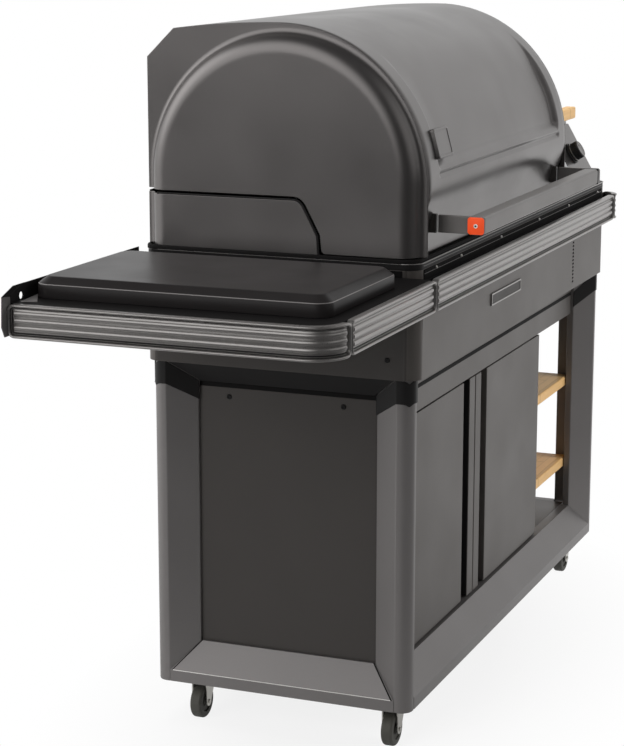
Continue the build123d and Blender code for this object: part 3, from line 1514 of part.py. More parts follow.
with BuildPart() as cooktop_glass:
    glass = rounded_rectangle(
        (COVER_LEFT + GLASS_INSET, COVER_RIGHT - GLASS_INSET),
        (COVER_FRONT + GLASS_INSET, COVER_REAR - GLASS_INSET),
        COVER_ROUND - GLASS_INSET,
    )
    span_z(glass, SHELF_TOP, SHELF_TOP + GLASS_THICKNESS)
keep(cooktop_glass, "cooktop_glass")


def cover_shape(inset):
    """Cover form drawn in by an inset: upright sides, then a bevel up to the flat top."""
    with BuildPart() as form:
        span_z(
            rounded_rectangle(
                (COVER_LEFT + inset, COVER_RIGHT - inset),
                (COVER_FRONT + inset, COVER_REAR - inset),
                COVER_ROUND - inset,
            ),
            COVER_FOOT,
            COVER_TOP - inset,
        )
        chamfer(
            form.faces().sort_by(Axis.Z)[-1].edges(),
            length=COVER_TOP - COVER_SHOULDER,
            length2=COVER_BEVEL,
            reference=form.faces().sort_by(Axis.Z)[-1],
        )
    return form.part


COVER_OUTSIDE = cover_shape(0)
COVER_INSIDE = cover_shape(COVER_WALL)

with BuildPart() as cooktop_cover:
    add(COVER_OUTSIDE)
    add(COVER_INSIDE, mode=Mode.SUBTRACT)
keep(cooktop_cover, "cooktop_cover")
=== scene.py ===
"""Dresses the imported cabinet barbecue: coated steel, ribbed rails, bamboo and rubber around the CAD frame."""

import json
from math import asin, atan2, cos, hypot, pi, radians, sin, tan

import bmesh
import bpy
from bpy.props import FloatProperty, FloatVectorProperty, IntProperty, PointerProperty
from mathutils import Matrix, Vector


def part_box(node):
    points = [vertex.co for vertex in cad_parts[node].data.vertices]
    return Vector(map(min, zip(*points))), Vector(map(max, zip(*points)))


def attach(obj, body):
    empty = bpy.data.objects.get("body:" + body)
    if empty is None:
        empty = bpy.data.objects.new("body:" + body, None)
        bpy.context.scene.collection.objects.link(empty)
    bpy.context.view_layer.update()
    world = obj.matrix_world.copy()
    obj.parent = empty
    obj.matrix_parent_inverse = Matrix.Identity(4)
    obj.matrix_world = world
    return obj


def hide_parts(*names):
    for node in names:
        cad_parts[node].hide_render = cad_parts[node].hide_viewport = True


bl_info = {
    "name": "Cabinet Barbecue",
    "version": (1, 0, 0),
    "blender": (4, 5, 0),
    "location": "View3D > Sidebar > Barbecue",
    "description": "Builds the finished pieces of a wheeled cabinet barbecue around its CAD frame",
    "category": "Object",
}

MM = 0.001
# Cleaning of copied CAD meshes: merging distance and longest hole edge in millimetres, and the
# angles up to which faces count as one flat and beyond which an edge is rounded
CAD_MERGE, HOLE_EDGE = 0.02, 14.0
CAD_FLAT, CAD_TURN = radians(0.4), radians(22)
# How far the barrel's seam runs on behind the rear wall, in millimetres
SEAM_PAST = 60.0
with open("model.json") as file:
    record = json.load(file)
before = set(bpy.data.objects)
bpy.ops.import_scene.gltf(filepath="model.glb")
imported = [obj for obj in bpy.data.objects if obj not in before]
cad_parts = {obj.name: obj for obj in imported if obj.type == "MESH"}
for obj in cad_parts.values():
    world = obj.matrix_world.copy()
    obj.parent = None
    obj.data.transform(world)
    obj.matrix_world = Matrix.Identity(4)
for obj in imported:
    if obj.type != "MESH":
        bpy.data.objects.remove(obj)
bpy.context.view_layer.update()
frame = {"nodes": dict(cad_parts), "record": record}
BODY_OF = {
    node: body for body, nodes in frame["record"]["behaviour"]["bodies"].items() for node in nodes
}


def reach(node):
    """Lowest and highest corner of a CAD node, in millimetres."""
    low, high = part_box(node)
    return low / MM, high / MM


def srgb(red, green, blue):
    """Linear colour of an 8-bit display colour."""
    return tuple(((c / 255 + 0.055) / 1.055) ** 2.4 if c > 10 else c / 3294.6 for c in (red, green, blue))


def length(label, default, description, least=0.0):
    """Size property in millimetres."""
    return FloatProperty(name=label, description=description, default=default, min=least)


def colour(label, default, description):
    """Paint or material colour property."""
    return FloatVectorProperty(
        name=label, description=description, default=srgb(*default), size=3, min=0.0, max=1.0, subtype="COLOR"
    )


class GrillSizes(bpy.types.PropertyGroup):
    """Sizes that the CAD boxes don't give, in millimetres unless a unit is named."""

    arch_radius: length("Arch Radius", 280.0, "Radius of the lid's front arch")
    back_drop: length("Back Drop", 13.0, "Fall of the lid's top from its crown to the rear bend")
    bend_run: length("Bend Run", 52.0, "Depth of the sloping bend at the lid's rear")
    bend_drop: length("Bend Drop", 51.0, "Height of the sloping bend at the lid's rear")
    bend_round: length("Bend Round", 9.0, "Rounding of the two bends at the lid's rear")
    sheet: length("Lid Sheet", 2.5, "Thickness of the lid's sheet metal")
    recess_depth: length("Recess Depth", 11.0, "Depth of the panel pressed into the lid's front")
    recess_margin_left: length("Recess Left Margin", 57.0, "From the lid's left edge to the pressed panel")
    recess_margin_right: length("Recess Right Margin", 43.0, "From the lid's right edge to the pressed panel")
    recess_wall: length("Recess Wall", 15.0, "Width of the pressed panel's side walls")
    recess_lift: length("Recess Lift", 27.0, "From the foot of the arch to the pressed panel's lower edge")
    recess_step: length("Recess Step", 22.0, "Height of the pressed panel's lower wall")
    recess_crease: length("Recess Crease", 4.0, "Depth of the crease under the pressed panel's lower wall")
    lid_tuck: length("Lid Tuck", 17.0, "How far the lid's front draws in behind the handle")
    tuck_height: length("Tuck Height", 76.0, "Height over which the lid's front draws in")
    dome_hollow: length("Dome Hollow", 12.0, "Inner radius where the domed ends leave their flange")
    dome_round: length("Dome Round", 32.1, "Outer radius of the domed ends' shoulder")
    dome_slope: FloatProperty(
        name="Dome Slope", description="Steepest slope of the domed ends' wall",
        default=radians(72.0), min=0.1, max=1.5, subtype="ANGLE",
    )
    seam_height: length("Seam Height", 1002.0, "Top of the fixed part of the barrel's ends")
    seam_gap: length("Seam Gap", 4.0, "Gap between the lid and the fixed part of the ends")
    seam_round: length("Seam Round", 24.0, "Rounding of the seam where it turns down")
    seam_drop: length("Seam Drop", 2.6, "How far the fixed ends stop short of the seam, for its seal")
    foot_round: length("Foot Round", 9.0, "Rounding of the lid ends' lower corner at the seam")
    plate_rise: length("Plate Rise", 6.0, "Height of the bare plate on the lid")
    cover_bevel: length("Cover Bevel", 15.0, "Width of the bevel round the cooktop cover")
    cover_corner: length("Cover Corner", 28.0, "Corner radius of the cooktop cover")
    rail_out: length("Rail Depth", 12.0, "How far a rail's bead stands out from its back")
    rail_corner: length("Rail Corner", 12.0, "Corner radius of a rail's bead")
    rail_field: length("Rail Field", 9.8, "From a rail's edge to its ribbed field")
    rail_ribs: IntProperty(name="Rail Ribs", description="Ribs along a rail's field", default=3, min=1)
    rail_lift: length("Rail Lift", 0.8, "How far a rail's field sits above its middle")
    rib_pitch: length("Rib Pitch", 11.6, "Height from one rib to the next")
    rib_radius: length("Rib Radius", 4.2, "Half the height of one rib")
    screw_head: length("Screw Head", 5.0, "Radius of the cabinet's screw heads")
    bamboo_strip: length("Bamboo Strip", 19.0, "Width of one bamboo strip")
    dial_ribs: IntProperty(name="Dial Ribs", description="Grip ribs round the dial", default=36, min=6)
    # Painted shadow: the height of the dull black strip that stands for the shaded gap under the housing's
    # front
    header_gap: length("Header Gap", 7.5, "Height of the dark gap across the front header")
    header_drop: length("Header Drop", 38.5, "From the front header's top to its dark gap")
    sill_lip: length("Sill Lip", 104.0, "Height of the left sill's lip above the floor")
    sill_bevel: length("Sill Bevel", 36.0, "Depth of the left sill's bevel")
    panel_gap: length("Panel Gap", 9.8, "Height of the dark lip between the left panel and its header")
    deck_corner: length("Deck Corner", 28.0, "Corner radius of the deck")
    vent_x: length("Vent Place", 614.0, "Place of the row of vents across the front")
    vent_foot: length("Vent Foot", 711.0, "Height of the lowest vent")
    vent_pitch: length("Vent Pitch", 7.7, "Height from one vent to the next")
    vents: IntProperty(name="Vents", description="Vents in the row", default=12, min=1)
    fascia_x: length("Front Plate Place", 114.0, "Place of the bare plate across the front")
    fascia_z: length("Front Plate Height", 769.0, "Height of the front plate's middle")
    plate_x: length("Lid Plate Place", -283.0, "Place of the bare plate across the lid", -1000.0)
    plate_z: length("Lid Plate Height", 1097.5, "Height of the lid plate's middle")
    rail_bend: length("Rail Bend", 48.0, "Radius of the left rail's bend, at its back")
    rail_end_bend: length("Rail End Bend", 30.0, "Radius of the right rail's bend, at its back")
    rear_rise: length("Rear Rise", 98.0, "From the lid skin's foot to its rear edge")
    seam_foot: length("Seam Foot", -41.0, "Place of the seam's foot, from front to rear", -400.0)
    seam_knee: length("Seam Knee", -38.0, "Place of the seam's first bend, from front to rear", -400.0)
    seam_knee_height: length("Seam Knee Height", 940.0, "Height of the seam's first bend")
    seam_turn: length("Seam Turn", -5.0, "Place where the seam turns level, from front to rear", -400.0)


class GrillFinishes(bpy.types.PropertyGroup):
    """Colours of the coats and materials; some also serve as painted shade, others as painted highlight."""

    lid_coat: colour("Lid Coat", (114, 111, 110), "Grey metallic coat of the lid and barrel ends")
    panel_coat: colour("Panel Coat", (88, 84, 81), "Warm grey coat of doors and housing")
    # Darker side grey also serves as painted shade on the housing's faces turned to the left
    side_and_shade_coat: colour("Side Coat", (58, 55, 53), "Darker coat of the side panel")
    # Frame grey also serves as painted highlight: on the deck's front, along the seam behind the rail and on
    # the cooktop cover's shoulder
    frame_and_highlight_coat: colour("Frame Coat", (120, 117, 116), "Grey coat of posts and sills")
    # Black coat also serves as painted shade in the left door's finger groove
    black_and_shade_coat: colour("Black Coat", (27, 26, 26), "Black coat of caps and trim")
    # This dull black also serves as painted shade: the strip across the front header and the strips behind the
    # rail
    matt_and_shade_coat: colour("Matt Coat", (15, 14, 14), "Dull black inside the channel behind the rails")
    cover_coat: colour("Cover Coat", (32, 30, 30), "Black coat of the cooktop cover")
    shelf_coat: colour("Shelf Coat", (19, 18, 18), "Black coat of the side shelf")
    # Rail metal also serves as the painted highlight of the bead round the deck
    rail_metal_and_highlight: colour("Rail Metal", (150, 147, 145), "Bare metal of the ribbed rails")
    # Pale metal also serves as the painted highlight along the left sill's lip
    pale_metal_and_highlight: colour("Pale Metal", (226, 223, 219), "Small rivets and screw heads")
    handle_metal: colour("Handle Metal", (104, 101, 99), "Dark coat of the lid handle")
    orange_cap: colour("Orange Cap", (250, 84, 34), "Plastic of the handle's end caps")
    bamboo: colour("Bamboo", (240, 194, 130), "Bamboo of the shelves and grip")
    zinc: colour("Zinc", (192, 190, 184), "Zinc-plated steel of the casters")
    rubber: colour("Rubber", (68, 67, 62), "Grey rubber of the wheels")
    enamel: colour("Enamel", (38, 37, 37), "Porcelain enamel of the tub")
    iron: colour("Iron", (52, 50, 48), "Cooking grate")
    chrome: colour("Chrome", (190, 190, 188), "Plated wire of the upper rack")
    steel: colour("Steel", (150, 150, 148), "Bare steel inside the cabinet")
    plastic: colour("Plastic", (30, 30, 30), "Black plastic of the controls")
    glass: colour("Glass", (12, 12, 14), "Black glass")


class StudioSettings(bpy.types.PropertyGroup):
    """Camera and light."""

    camera_place: FloatVectorProperty(
        name="Camera Place", description="Camera position", default=(-3.8452, -1.4129, 1.4894),
        size=3, subtype="TRANSLATION", unit="LENGTH",
    )
    camera_turn: FloatVectorProperty(
        name="Camera Turn", description="Camera rotation", size=3, subtype="EULER",
        default=(radians(77.91), 0.0, radians(-68.06)),
    )
    camera_lens: FloatProperty(
        name="Camera Lens", description="Focal length on a 36 mm sensor", default=103.6, min=1.0
    )
    key_power: FloatProperty(name="Key Power", description="Front softbox", default=120.0, min=0.0)
    top_power: FloatProperty(name="Top Power", description="Overhead softbox", default=90.0, min=0.0)
    side_power: FloatProperty(name="Side Power", description="Left softbox", default=110.0, min=0.0)
    room_glow: FloatProperty(
        name="Room Glow", description="Even light of the room on matt surfaces", default=0.22, min=0.0
    )


def sizes():
    """The scene's size settings."""
    return bpy.context.scene.grill_sizes


# Shading


def add(tree, kind, inputs=None, **settings):
    """Adds a node; an input given as a socket is linked, any other is set."""
    made = tree.nodes.new(kind)
    for key, value in settings.items():
        setattr(made, key, value)
    for key, value in (inputs or {}).items():
        if isinstance(value, bpy.types.NodeSocket):
            tree.links.new(value, made.inputs[key])
        else:
            made.inputs[key].default_value = value
    return made


def reckon(tree, operation, first, second=0.0):
    """Output of a maths node."""
    return add(tree, "ShaderNodeMath", {0: first, 1: second}, operation=operation).outputs[0]


def blend(tree, factor, first, second):
    """Output of a colour mix."""
    return add(tree, "ShaderNodeMix", {0: factor, 6: first, 7: second}, data_type="RGBA").outputs[2]


def spread(tree, value, low, high, start=0.0, end=1.0, kind="LINEAR"):
    """Output of a value between start and end, laid out between low and high."""
    ends = {"From Min": start, "From Max": end, "To Min": low, "To Max": high}
    return add(tree, "ShaderNodeMapRange", {"Value": value, **ends}, interpolation_type=kind).outputs[0]


def reckon_vector(tree, operation, first, second=(0.0, 0.0, 0.0), output=0):
    """Output of a vector maths node."""
    made = add(tree, "ShaderNodeVectorMath", {0: first, 1: second}, operation=operation)
    return made.outputs[output]


def noise(tree, place, scale, detail=2.0):
    """Output of a noise texture."""
    return add(tree, "ShaderNodeTexNoise", {"Vector": place, "Scale": scale, "Detail": detail}).outputs["Fac"]


def rays(tree):
    """Masks of camera rays, and of all rays that look: from the camera, mirrored or let through."""
    seen = add(tree, "ShaderNodeLightPath").outputs
    turned = reckon(tree, "MAXIMUM", seen["Is Glossy Ray"], seen["Is Transmission Ray"])
    return seen["Is Camera Ray"], reckon(tree, "MAXIMUM", seen["Is Camera Ray"], turned)


def new_group(name, inputs):
    """Shader group with named inputs, and Colour, Roughness and Height outputs."""
    tree = bpy.data.node_groups.new(name, "ShaderNodeTree")
    for label, kind, default in inputs:
        tree.interface.new_socket(label, in_out="INPUT", socket_type=kind).default_value = default
    for label, kind in (("Colour", "Color"), ("Roughness", "Float"), ("Height", "Float")):
        tree.interface.new_socket(label, in_out="OUTPUT", socket_type="NodeSocket" + kind)
    return tree, tree.nodes.new("NodeGroupInput").outputs, tree.nodes.new("NodeGroupOutput").inputs


COLOUR = ("Colour", "NodeSocketColor", (0.5, 0.5, 0.5, 1.0))
ROUGHNESS = ("Roughness", "NodeSocketFloat", 0.5)


def put_out(tree, given, put, shade, roughness, height):
    """Puts out a group's colour times a shade, its roughness and its relief."""
    tree.links.new(reckon_vector(tree, "MULTIPLY", given["Colour"], shade), put["Colour"])
    tree.links.new(roughness, put["Roughness"])
    tree.links.new(height, put["Height"])
    return tree


def coat_group():
    """Sprayed coat: fine orange peel, faint flow of tone and a little uneven gloss."""
    grain = ("Grain", "NodeSocketFloat", 900.0)
    mottle = ("Mottle", "NodeSocketFloat", 0.08)
    tree, given, put = new_group("sprayed_coat", [COLOUR, ROUGHNESS, grain, mottle])
    place = add(tree, "ShaderNodeTexCoord").outputs["Object"]
    peel = noise(tree, place, given["Grain"])
    drift = reckon(tree, "SUBTRACT", noise(tree, place, 7.0, 3.0), 0.5)
    uneven = reckon(tree, "ADD", reckon(tree, "SUBTRACT", peel, 0.5), drift)
    tone = reckon(tree, "MULTIPLY", uneven, given["Mottle"])
    shade = reckon(tree, "ADD", reckon(tree, "MULTIPLY", tone, 2.0), 1.0)
    gloss = reckon(tree, "ADD", reckon(tree, "MULTIPLY", drift, 0.16), given["Roughness"])
    return put_out(tree, given, put, shade, gloss, peel)


def brushed_group():
    """Brushed or drawn metal: long fine lines along one direction."""
    stretch = ("Stretch", "NodeSocketVector", (6.0, 900.0, 900.0))
    tree, given, put = new_group("brushed_lines", [COLOUR, ROUGHNESS, stretch])
    place = add(tree, "ShaderNodeTexCoord").outputs["Object"]
    fine = noise(tree, reckon_vector(tree, "MULTIPLY", place, given["Stretch"]), 1.0, 4.0)
    cloud = spread(tree, noise(tree, place, 9.0), 0.94, 1.06)
    shade = reckon(tree, "MULTIPLY", spread(tree, fine, 0.82, 1.18), cloud)
    uneven = reckon(tree, "MULTIPLY", reckon(tree, "SUBTRACT", fine, 0.5), 0.3)
    return put_out(tree, given, put, shade, reckon(tree, "ADD", uneven, given["Roughness"]), fine)


def bamboo_group():
    """Laminated bamboo: strips of differing tone, long fibres and the dark rings of the cane."""
    strip = ("Strip", "NodeSocketFloat", 0.019)
    tree, given, put = new_group("bamboo_strips", [COLOUR, ROUGHNESS, strip])
    place = add(tree, "ShaderNodeTexCoord").outputs["Object"]
    axes = add(tree, "ShaderNodeSeparateXYZ", {0: place}).outputs
    across = reckon(tree, "DIVIDE", axes["Y"], given["Strip"])
    number = reckon(tree, "FLOOR", across)
    luck = add(tree, "ShaderNodeTexWhiteNoise", {"W": number}, noise_dimensions="1D").outputs["Value"]
    fibre = noise(tree, reckon_vector(tree, "MULTIPLY", place, (9.0, 900.0, 900.0)), 1.0, 3.0)
    shift = reckon(tree, "MULTIPLY", luck, 7.0)
    shifted = reckon(tree, "ADD", reckon(tree, "MULTIPLY", axes["X"], 4.6), shift)
    ring = reckon(tree, "LESS_THAN", reckon(tree, "FRACT", shifted), 0.02)
    from_middle = reckon(tree, "SUBTRACT", reckon(tree, "FRACT", across), 0.5)
    joint = reckon(tree, "GREATER_THAN", reckon(tree, "ABSOLUTE", from_middle), 0.475)
    faint = reckon(tree, "MULTIPLY", joint, 0.3)
    marks = reckon(tree, "MAXIMUM", reckon(tree, "MULTIPLY", ring, 0.22), faint)
    threads = spread(tree, fibre, 0.84, 1.16)
    tone = reckon(tree, "MULTIPLY", spread(tree, luck, 0.86, 1.1), threads)
    shade = reckon(tree, "MULTIPLY", tone, reckon(tree, "SUBTRACT", 1.0, marks))
    gloss = reckon(tree, "ADD", given["Roughness"], reckon(tree, "MULTIPLY", marks, 0.4))
    return put_out(tree, given, put, shade, gloss, reckon(tree, "SUBTRACT", fibre, marks))


GROUPS = {"sprayed_coat": coat_group, "brushed_lines": brushed_group, "bamboo_strips": bamboo_group}


def surface(slot, group, tint, roughness, bump, grain=None, **shader):
    """Material whose colour, roughness and relief come from a shared group."""
    made = bpy.data.materials.new("finish_" + slot)
    made.use_nodes = True
    tree = made.node_tree
    principled = tree.nodes["Principled BSDF"]
    for label, value in shader.items():
        principled.inputs[label.replace("_", " ").title().replace("Ior", "IOR")].default_value = value
    pattern = add(tree, "ShaderNodeGroup", node_tree=bpy.data.node_groups.get(group) or GROUPS[group]())
    pattern.inputs["Colour"].default_value = (*tint, 1.0)
    pattern.inputs["Roughness"].default_value = roughness
    for label, value in (grain or {}).items():
        pattern.inputs[label].default_value = value
    height = pattern.outputs["Height"]
    relief = add(tree, "ShaderNodeBump", {"Height": height, "Strength": 1.0, "Distance": bump * MM})
    tree.links.new(pattern.outputs["Colour"], principled.inputs["Base Color"])
    tree.links.new(pattern.outputs["Roughness"], principled.inputs["Roughness"])
    tree.links.new(relief.outputs["Normal"], principled.inputs["Normal"])
    return made


def finish(slot):
    """Material of a slot, made at its first use."""
    made = bpy.data.materials.get("finish_" + slot)
    if made:
        return made
    paint = bpy.context.scene.grill_finishes
    coat, lines = "sprayed_coat", "brushed_lines"
    along_x, along_y, along_z = (6.0, 900.0, 900.0), (900.0, 6.0, 900.0), (900.0, 900.0, 6.0)
    recipes = {
        "lid_grey": (coat, paint.lid_coat, 0.32, 0.02, {"Mottle": 0.05}, {"metallic": 0.88}),
        "panel_grey": (coat, paint.panel_coat, 0.44, 0.03, {"Mottle": 0.06}, {"metallic": 0.5}),
        "frame_grey": (coat, paint.frame_and_highlight_coat, 0.42, 0.03, {"Mottle": 0.06}, {"metallic": 0.55}),
        "pale_rivet": (coat, paint.pale_metal_and_highlight, 0.4, 0.02, {"Mottle": 0.06}, {}),
        "black_trim": (coat, paint.black_and_shade_coat, 0.46, 0.03, {"Mottle": 0.1}, {"specular_ior_level": 0.2}),
        "matt_black": (coat, paint.matt_and_shade_coat, 0.7, 0.03, {"Mottle": 0.15}, {"specular_ior_level": 0.12}),
        "cover_black": (coat, paint.cover_coat, 0.34, 0.02, {"Mottle": 0.08}, {"specular_ior_level": 0.18}),
        "side_grey": (coat, paint.side_and_shade_coat, 0.5, 0.03, {"Mottle": 0.06}, {"specular_ior_level": 0.3}),
        "shelf_grey": (coat, paint.shelf_coat, 0.55, 0.03, {"Mottle": 0.08}, {"specular_ior_level": 0.06}),
        "handle_steel": (coat, paint.handle_metal, 0.4, 0.02, {"Mottle": 0.06}, {"metallic": 0.3}),
        "rail_silver": (lines, paint.rail_metal_and_highlight, 0.32, 0.01, {"Stretch": along_x}, {"metallic": 0.85}),
        "cap_orange": (coat, paint.orange_cap, 0.45, 0.03, {"Mottle": 0.06, "Grain": 1400.0}, {}),
        "bamboo": ("bamboo_strips", paint.bamboo, 0.5, 0.06, {"Strip": sizes().bamboo_strip * MM}, {}),
        "zinc": (lines, paint.zinc, 0.34, 0.01, {"Stretch": along_z}, {"metallic": 0.9}),
        "wheel_rubber": (coat, paint.rubber, 0.62, 0.08, {"Mottle": 0.12, "Grain": 600.0}, {}),
        "lever_black": (coat, paint.plastic, 0.5, 0.04, {"Mottle": 0.1}, {}),
        "tub_enamel": (coat, paint.enamel, 0.3, 0.03, {"Mottle": 0.2, "Grain": 400.0}, {"coat_weight": 0.2}),
        "grate_iron": (coat, paint.iron, 0.42, 0.08, {"Mottle": 0.2, "Grain": 500.0}, {}),
        "rack_chrome": (lines, paint.chrome, 0.22, 0.005, {"Stretch": along_y}, {"metallic": 1.0}),
        "inner_steel": (lines, paint.steel, 0.38, 0.01, {"Stretch": along_z}, {"metallic": 0.9}),
        "fan_black": (coat, paint.plastic, 0.5, 0.04, {"Mottle": 0.1}, {}),
        "control_black": (coat, paint.plastic, 0.42, 0.03, {"Mottle": 0.1, "Grain": 1500.0}, {}),
        "screen": (coat, paint.glass, 0.1, 0.002, {"Mottle": 0.1, "Grain": 60.0}, {"coat_weight": 0.5}),
        "dark_socket": (coat, paint.matt_and_shade_coat, 0.3, 0.02, {"Mottle": 0.1}, {}),
    }
    group, tint, roughness, bump, grain, shader = recipes[slot]
    return surface(slot, group, tint, roughness, bump, grain, **shader)


# Meshes, drawn in millimetres


def shown(name, mesh):
    """New object of the scene for a mesh."""
    obj = bpy.data.objects.new(name, mesh)
    bpy.context.scene.collection.objects.link(obj)
    return obj


def meshed(name, bm):
    """Mesh data of a working mesh, which is freed."""
    mesh = bpy.data.meshes.new(name)
    bm.to_mesh(mesh)
    bm.free()
    return mesh


def solid(name, bm, slot):
    """Object from a mesh drawn in millimetres."""
    bmesh.ops.scale(bm, vec=(MM, MM, MM), verts=bm.verts)
    mesh = meshed(name, bm)
    mesh.materials.append(finish(slot))
    return shown(name, mesh)


def ease(obj, width, segments=2, angle=40.0):
    """Rounds the edges that turn by more than an angle."""
    bevel = obj.modifiers.new("ease", "BEVEL")
    bevel.width, bevel.segments = width * MM, segments
    bevel.limit_method, bevel.angle_limit = "ANGLE", radians(angle)
    bevel.use_clamp_overlap, bevel.harden_normals = False, True
    return obj


def thicken(obj, sheet):
    """Gives an open sheet its thickness on the inner side."""
    wall = obj.modifiers.new("sheet", "SOLIDIFY")
    wall.thickness, wall.offset, wall.use_even_offset = sheet * MM, -1.0, True
    return obj


def baked(obj):
    """Turns the modifiers into plain mesh."""
    graph = bpy.context.evaluated_depsgraph_get()
    mesh = bpy.data.meshes.new_from_object(obj.evaluated_get(graph))
    obj.modifiers.clear()
    obj.data = mesh
    return obj


def settle(obj, crease=38.0):
    """Turns the modifiers into plain mesh and smooths all but the creases."""
    mesh = baked(obj).data
    mesh.shade_smooth()
    mesh.set_sharp_from_angle(angle=radians(crease))
    return obj


def carve(obj, bm, operation="INTERSECT"):
    """Cuts a piece by a second mesh."""
    tool = solid(obj.name + "_tool", bm, "black_trim")
    cut = obj.modifiers.new("cut", "BOOLEAN")
    cut.object, cut.operation, cut.solver = tool, operation, "EXACT"
    settle(obj)
    bpy.data.objects.remove(tool)
    return obj


def joined(name, *pieces):
    """One object from several, keeping their materials."""
    bm = bmesh.new()
    materials = []
    for obj in pieces:
        start = len(bm.faces)
        bm.from_mesh(obj.data)
        bm.faces.ensure_lookup_table()
        slots = []
        for material in obj.data.materials:
            if material not in materials:
                materials.append(material)
            slots.append(materials.index(material))
        for face in bm.faces[start:]:
            face.material_index = slots[face.material_index] if slots else 0
        bpy.data.objects.remove(obj)
    mesh = meshed(name, bm)
    for material in materials:
        mesh.materials.append(material)
    return shown(name, mesh)


def mirrored(obj, name, middle_x):
    """Copy of a piece on the other side of an upright plane, turned outwards again."""
    mesh = obj.data.copy()
    copy = shown(name, mesh)
    mesh.transform(Matrix.Translation((2 * middle_x * MM, 0, 0)) @ Matrix.Scale(-1, 4, (1, 0, 0)))
    mesh.flip_normals()
    return copy


def hang(obj, slot, *nodes, body=None):
    """Puts a piece on its body and lets it stand for CAD nodes, which it hides."""
    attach(obj, body or BODY_OF[nodes[0]])
    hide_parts(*nodes)
    return obj


def level(obj):
    """Turns the modifiers into plain mesh whose large faces shade flat up to their rounded edges."""
    flat = obj.modifiers.new("flat", "WEIGHTED_NORMAL")
    flat.keep_sharp, flat.weight = True, 100
    return baked(obj)


def softened(obj, width, segments=2, angle=50.0):
    """Rounds the edges of a plain mesh and keeps its large faces flat."""
    obj.data.shade_smooth()
    obj.data.set_sharp_from_angle(angle=pi)
    return level(ease(obj, width, segments, angle))


def strip(name, slot, low, high, rounding=0.4):
    """Straight piece between two corners, its long edges rounded."""
    low, high = Vector(low), Vector(high)
    extent, middle = high - low, (low + high) / 2
    levels = [(extent.x, extent.y, min(rounding, extent.x / 3, extent.y / 3), z) for z in (low.z, high.z)]
    bm = stacked(levels, Matrix.Translation((middle.x, middle.y, 0)), steps=3)
    return softened(solid(name, bm, slot), min(rounding, extent.z / 3), 2, 60)


def lathe(name, profile, place, steps=48):
    """Round piece from (radius, height, finish) points; each finish covers the band up to its point."""
    bm = bmesh.new()
    rows = []
    for radius, height, slot in profile:
        turns = [2 * pi * step / steps for step in range(steps)]
        rows.append([bm.verts.new(place @ Vector((radius * cos(t), radius * sin(t), height))) for t in turns])
    slots = list(dict.fromkeys(slot for radius, height, slot in profile))
    for (low, high), (radius, height, slot) in zip(zip(rows, rows[1:]), profile[1:]):
        for i in range(steps):
            face = bm.faces.new((low[i], low[(i + 1) % steps], high[(i + 1) % steps], high[i]))
            face.material_index = slots.index(slot)
    bm.faces.new(list(reversed(rows[0]))).material_index = slots.index(profile[0][2])
    bm.faces.new(rows[-1]).material_index = slots.index(profile[-1][2])
    obj = solid(name, bm, slots[0])
    for slot in slots[1:]:
        obj.data.materials.append(finish(slot))
    return settle(obj, 32)


def repaint(obj, slot, chosen):
    """Gives a second finish to the faces chosen by their middle, in millimetres, and their facing."""
    obj.data.materials.append(finish(slot))
    for face in obj.data.polygons:
        if chosen(face.center / MM, face.normal):
            face.material_index = len(obj.data.materials) - 1
    return obj


def dressed(node, slot, rounding=0.8, segments=2):
    """Merged copy of a CAD node with rounded edges, standing for the node."""
    return hang(copied(node, slot, rounding, segments), slot, node)


def copied(node, slot, rounding=0.8, segments=2, cut=None):
    """Merged copy of a CAD node with rounded edges, cut first by a second mesh where one is given."""
    bm = bmesh.new()
    bm.from_mesh(frame["nodes"][node].data)
    bmesh.ops.remove_doubles(bm, verts=bm.verts, dist=CAD_MERGE * MM)
    bmesh.ops.dissolve_limit(bm, angle_limit=CAD_FLAT, verts=bm.verts, edges=bm.edges)
    shortest = 1.2 * rounding
    if cut:
        # The short edges of the cut holes stay sharp
        shortest = HOLE_EDGE
        holed = carve(shown(node, meshed(node, bm)), cut, "DIFFERENCE")
        bm = bmesh.new()
        bm.from_mesh(holed.data)
        bpy.data.objects.remove(holed)
    weight = bm.edges.layers.float.new("bevel_weight_edge")
    for edge in bm.edges:
        edge.smooth = True
        if edge.is_manifold and edge.calc_face_angle() > CAD_TURN:
            edge.smooth = edge.calc_length() > shortest * MM
            edge[weight] = 1.0 if edge.smooth else 0.0
    for face in bm.faces:
        face.smooth = True
    mesh = meshed(node, bm)
    mesh.materials.append(finish(slot))
    obj = shown(node + "_piece", mesh)
    ease(obj, rounding, segments).modifiers["ease"].limit_method = "WEIGHT"
    return level(obj)


def dress_all(slot, nodes, rounding=0.8, segments=2):
    """Dresses several nodes in one finish."""
    return [dressed(node, slot, rounding, segments) for node in nodes]


def rounded_rectangle(width, depth, radius, steps=6):
    """Points of a rectangle with round corners, anticlockwise about its centre."""
    points = []
    for quarter, (side_x, side_y) in enumerate(((1, 1), (-1, 1), (-1, -1), (1, -1))):
        for step in range(steps + 1):
            turn = pi / 2 * (quarter + step / steps)
            points.append((
                side_x * (width / 2 - radius) + radius * cos(turn),
                side_y * (depth / 2 - radius) + radius * sin(turn),
            ))
    return points


def loft(rings, cap_first=True, cap_last=True, closed=False):
    """Skin over rings of equal count, capped where asked; rings run anticlockwise seen from the last one."""
    bm = bmesh.new()
    rows = [[bm.verts.new(point) for point in ring] for ring in rings]
    for low, high in zip(rows, rows[1:] + (rows[:1] if closed else [])):
        count = len(low)
        for i in range(count):
            bm.faces.new((low[i], low[(i + 1) % count], high[(i + 1) % count], high[i]))
    if cap_first:
        bm.faces.new(list(reversed(rows[0])))
    if cap_last:
        bm.faces.new(rows[-1])
    return bm


def skinned(rings):
    """Capped skin over rings that may run either way round."""
    bm = loft(rings)
    bmesh.ops.recalc_face_normals(bm, faces=bm.faces)
    return bm


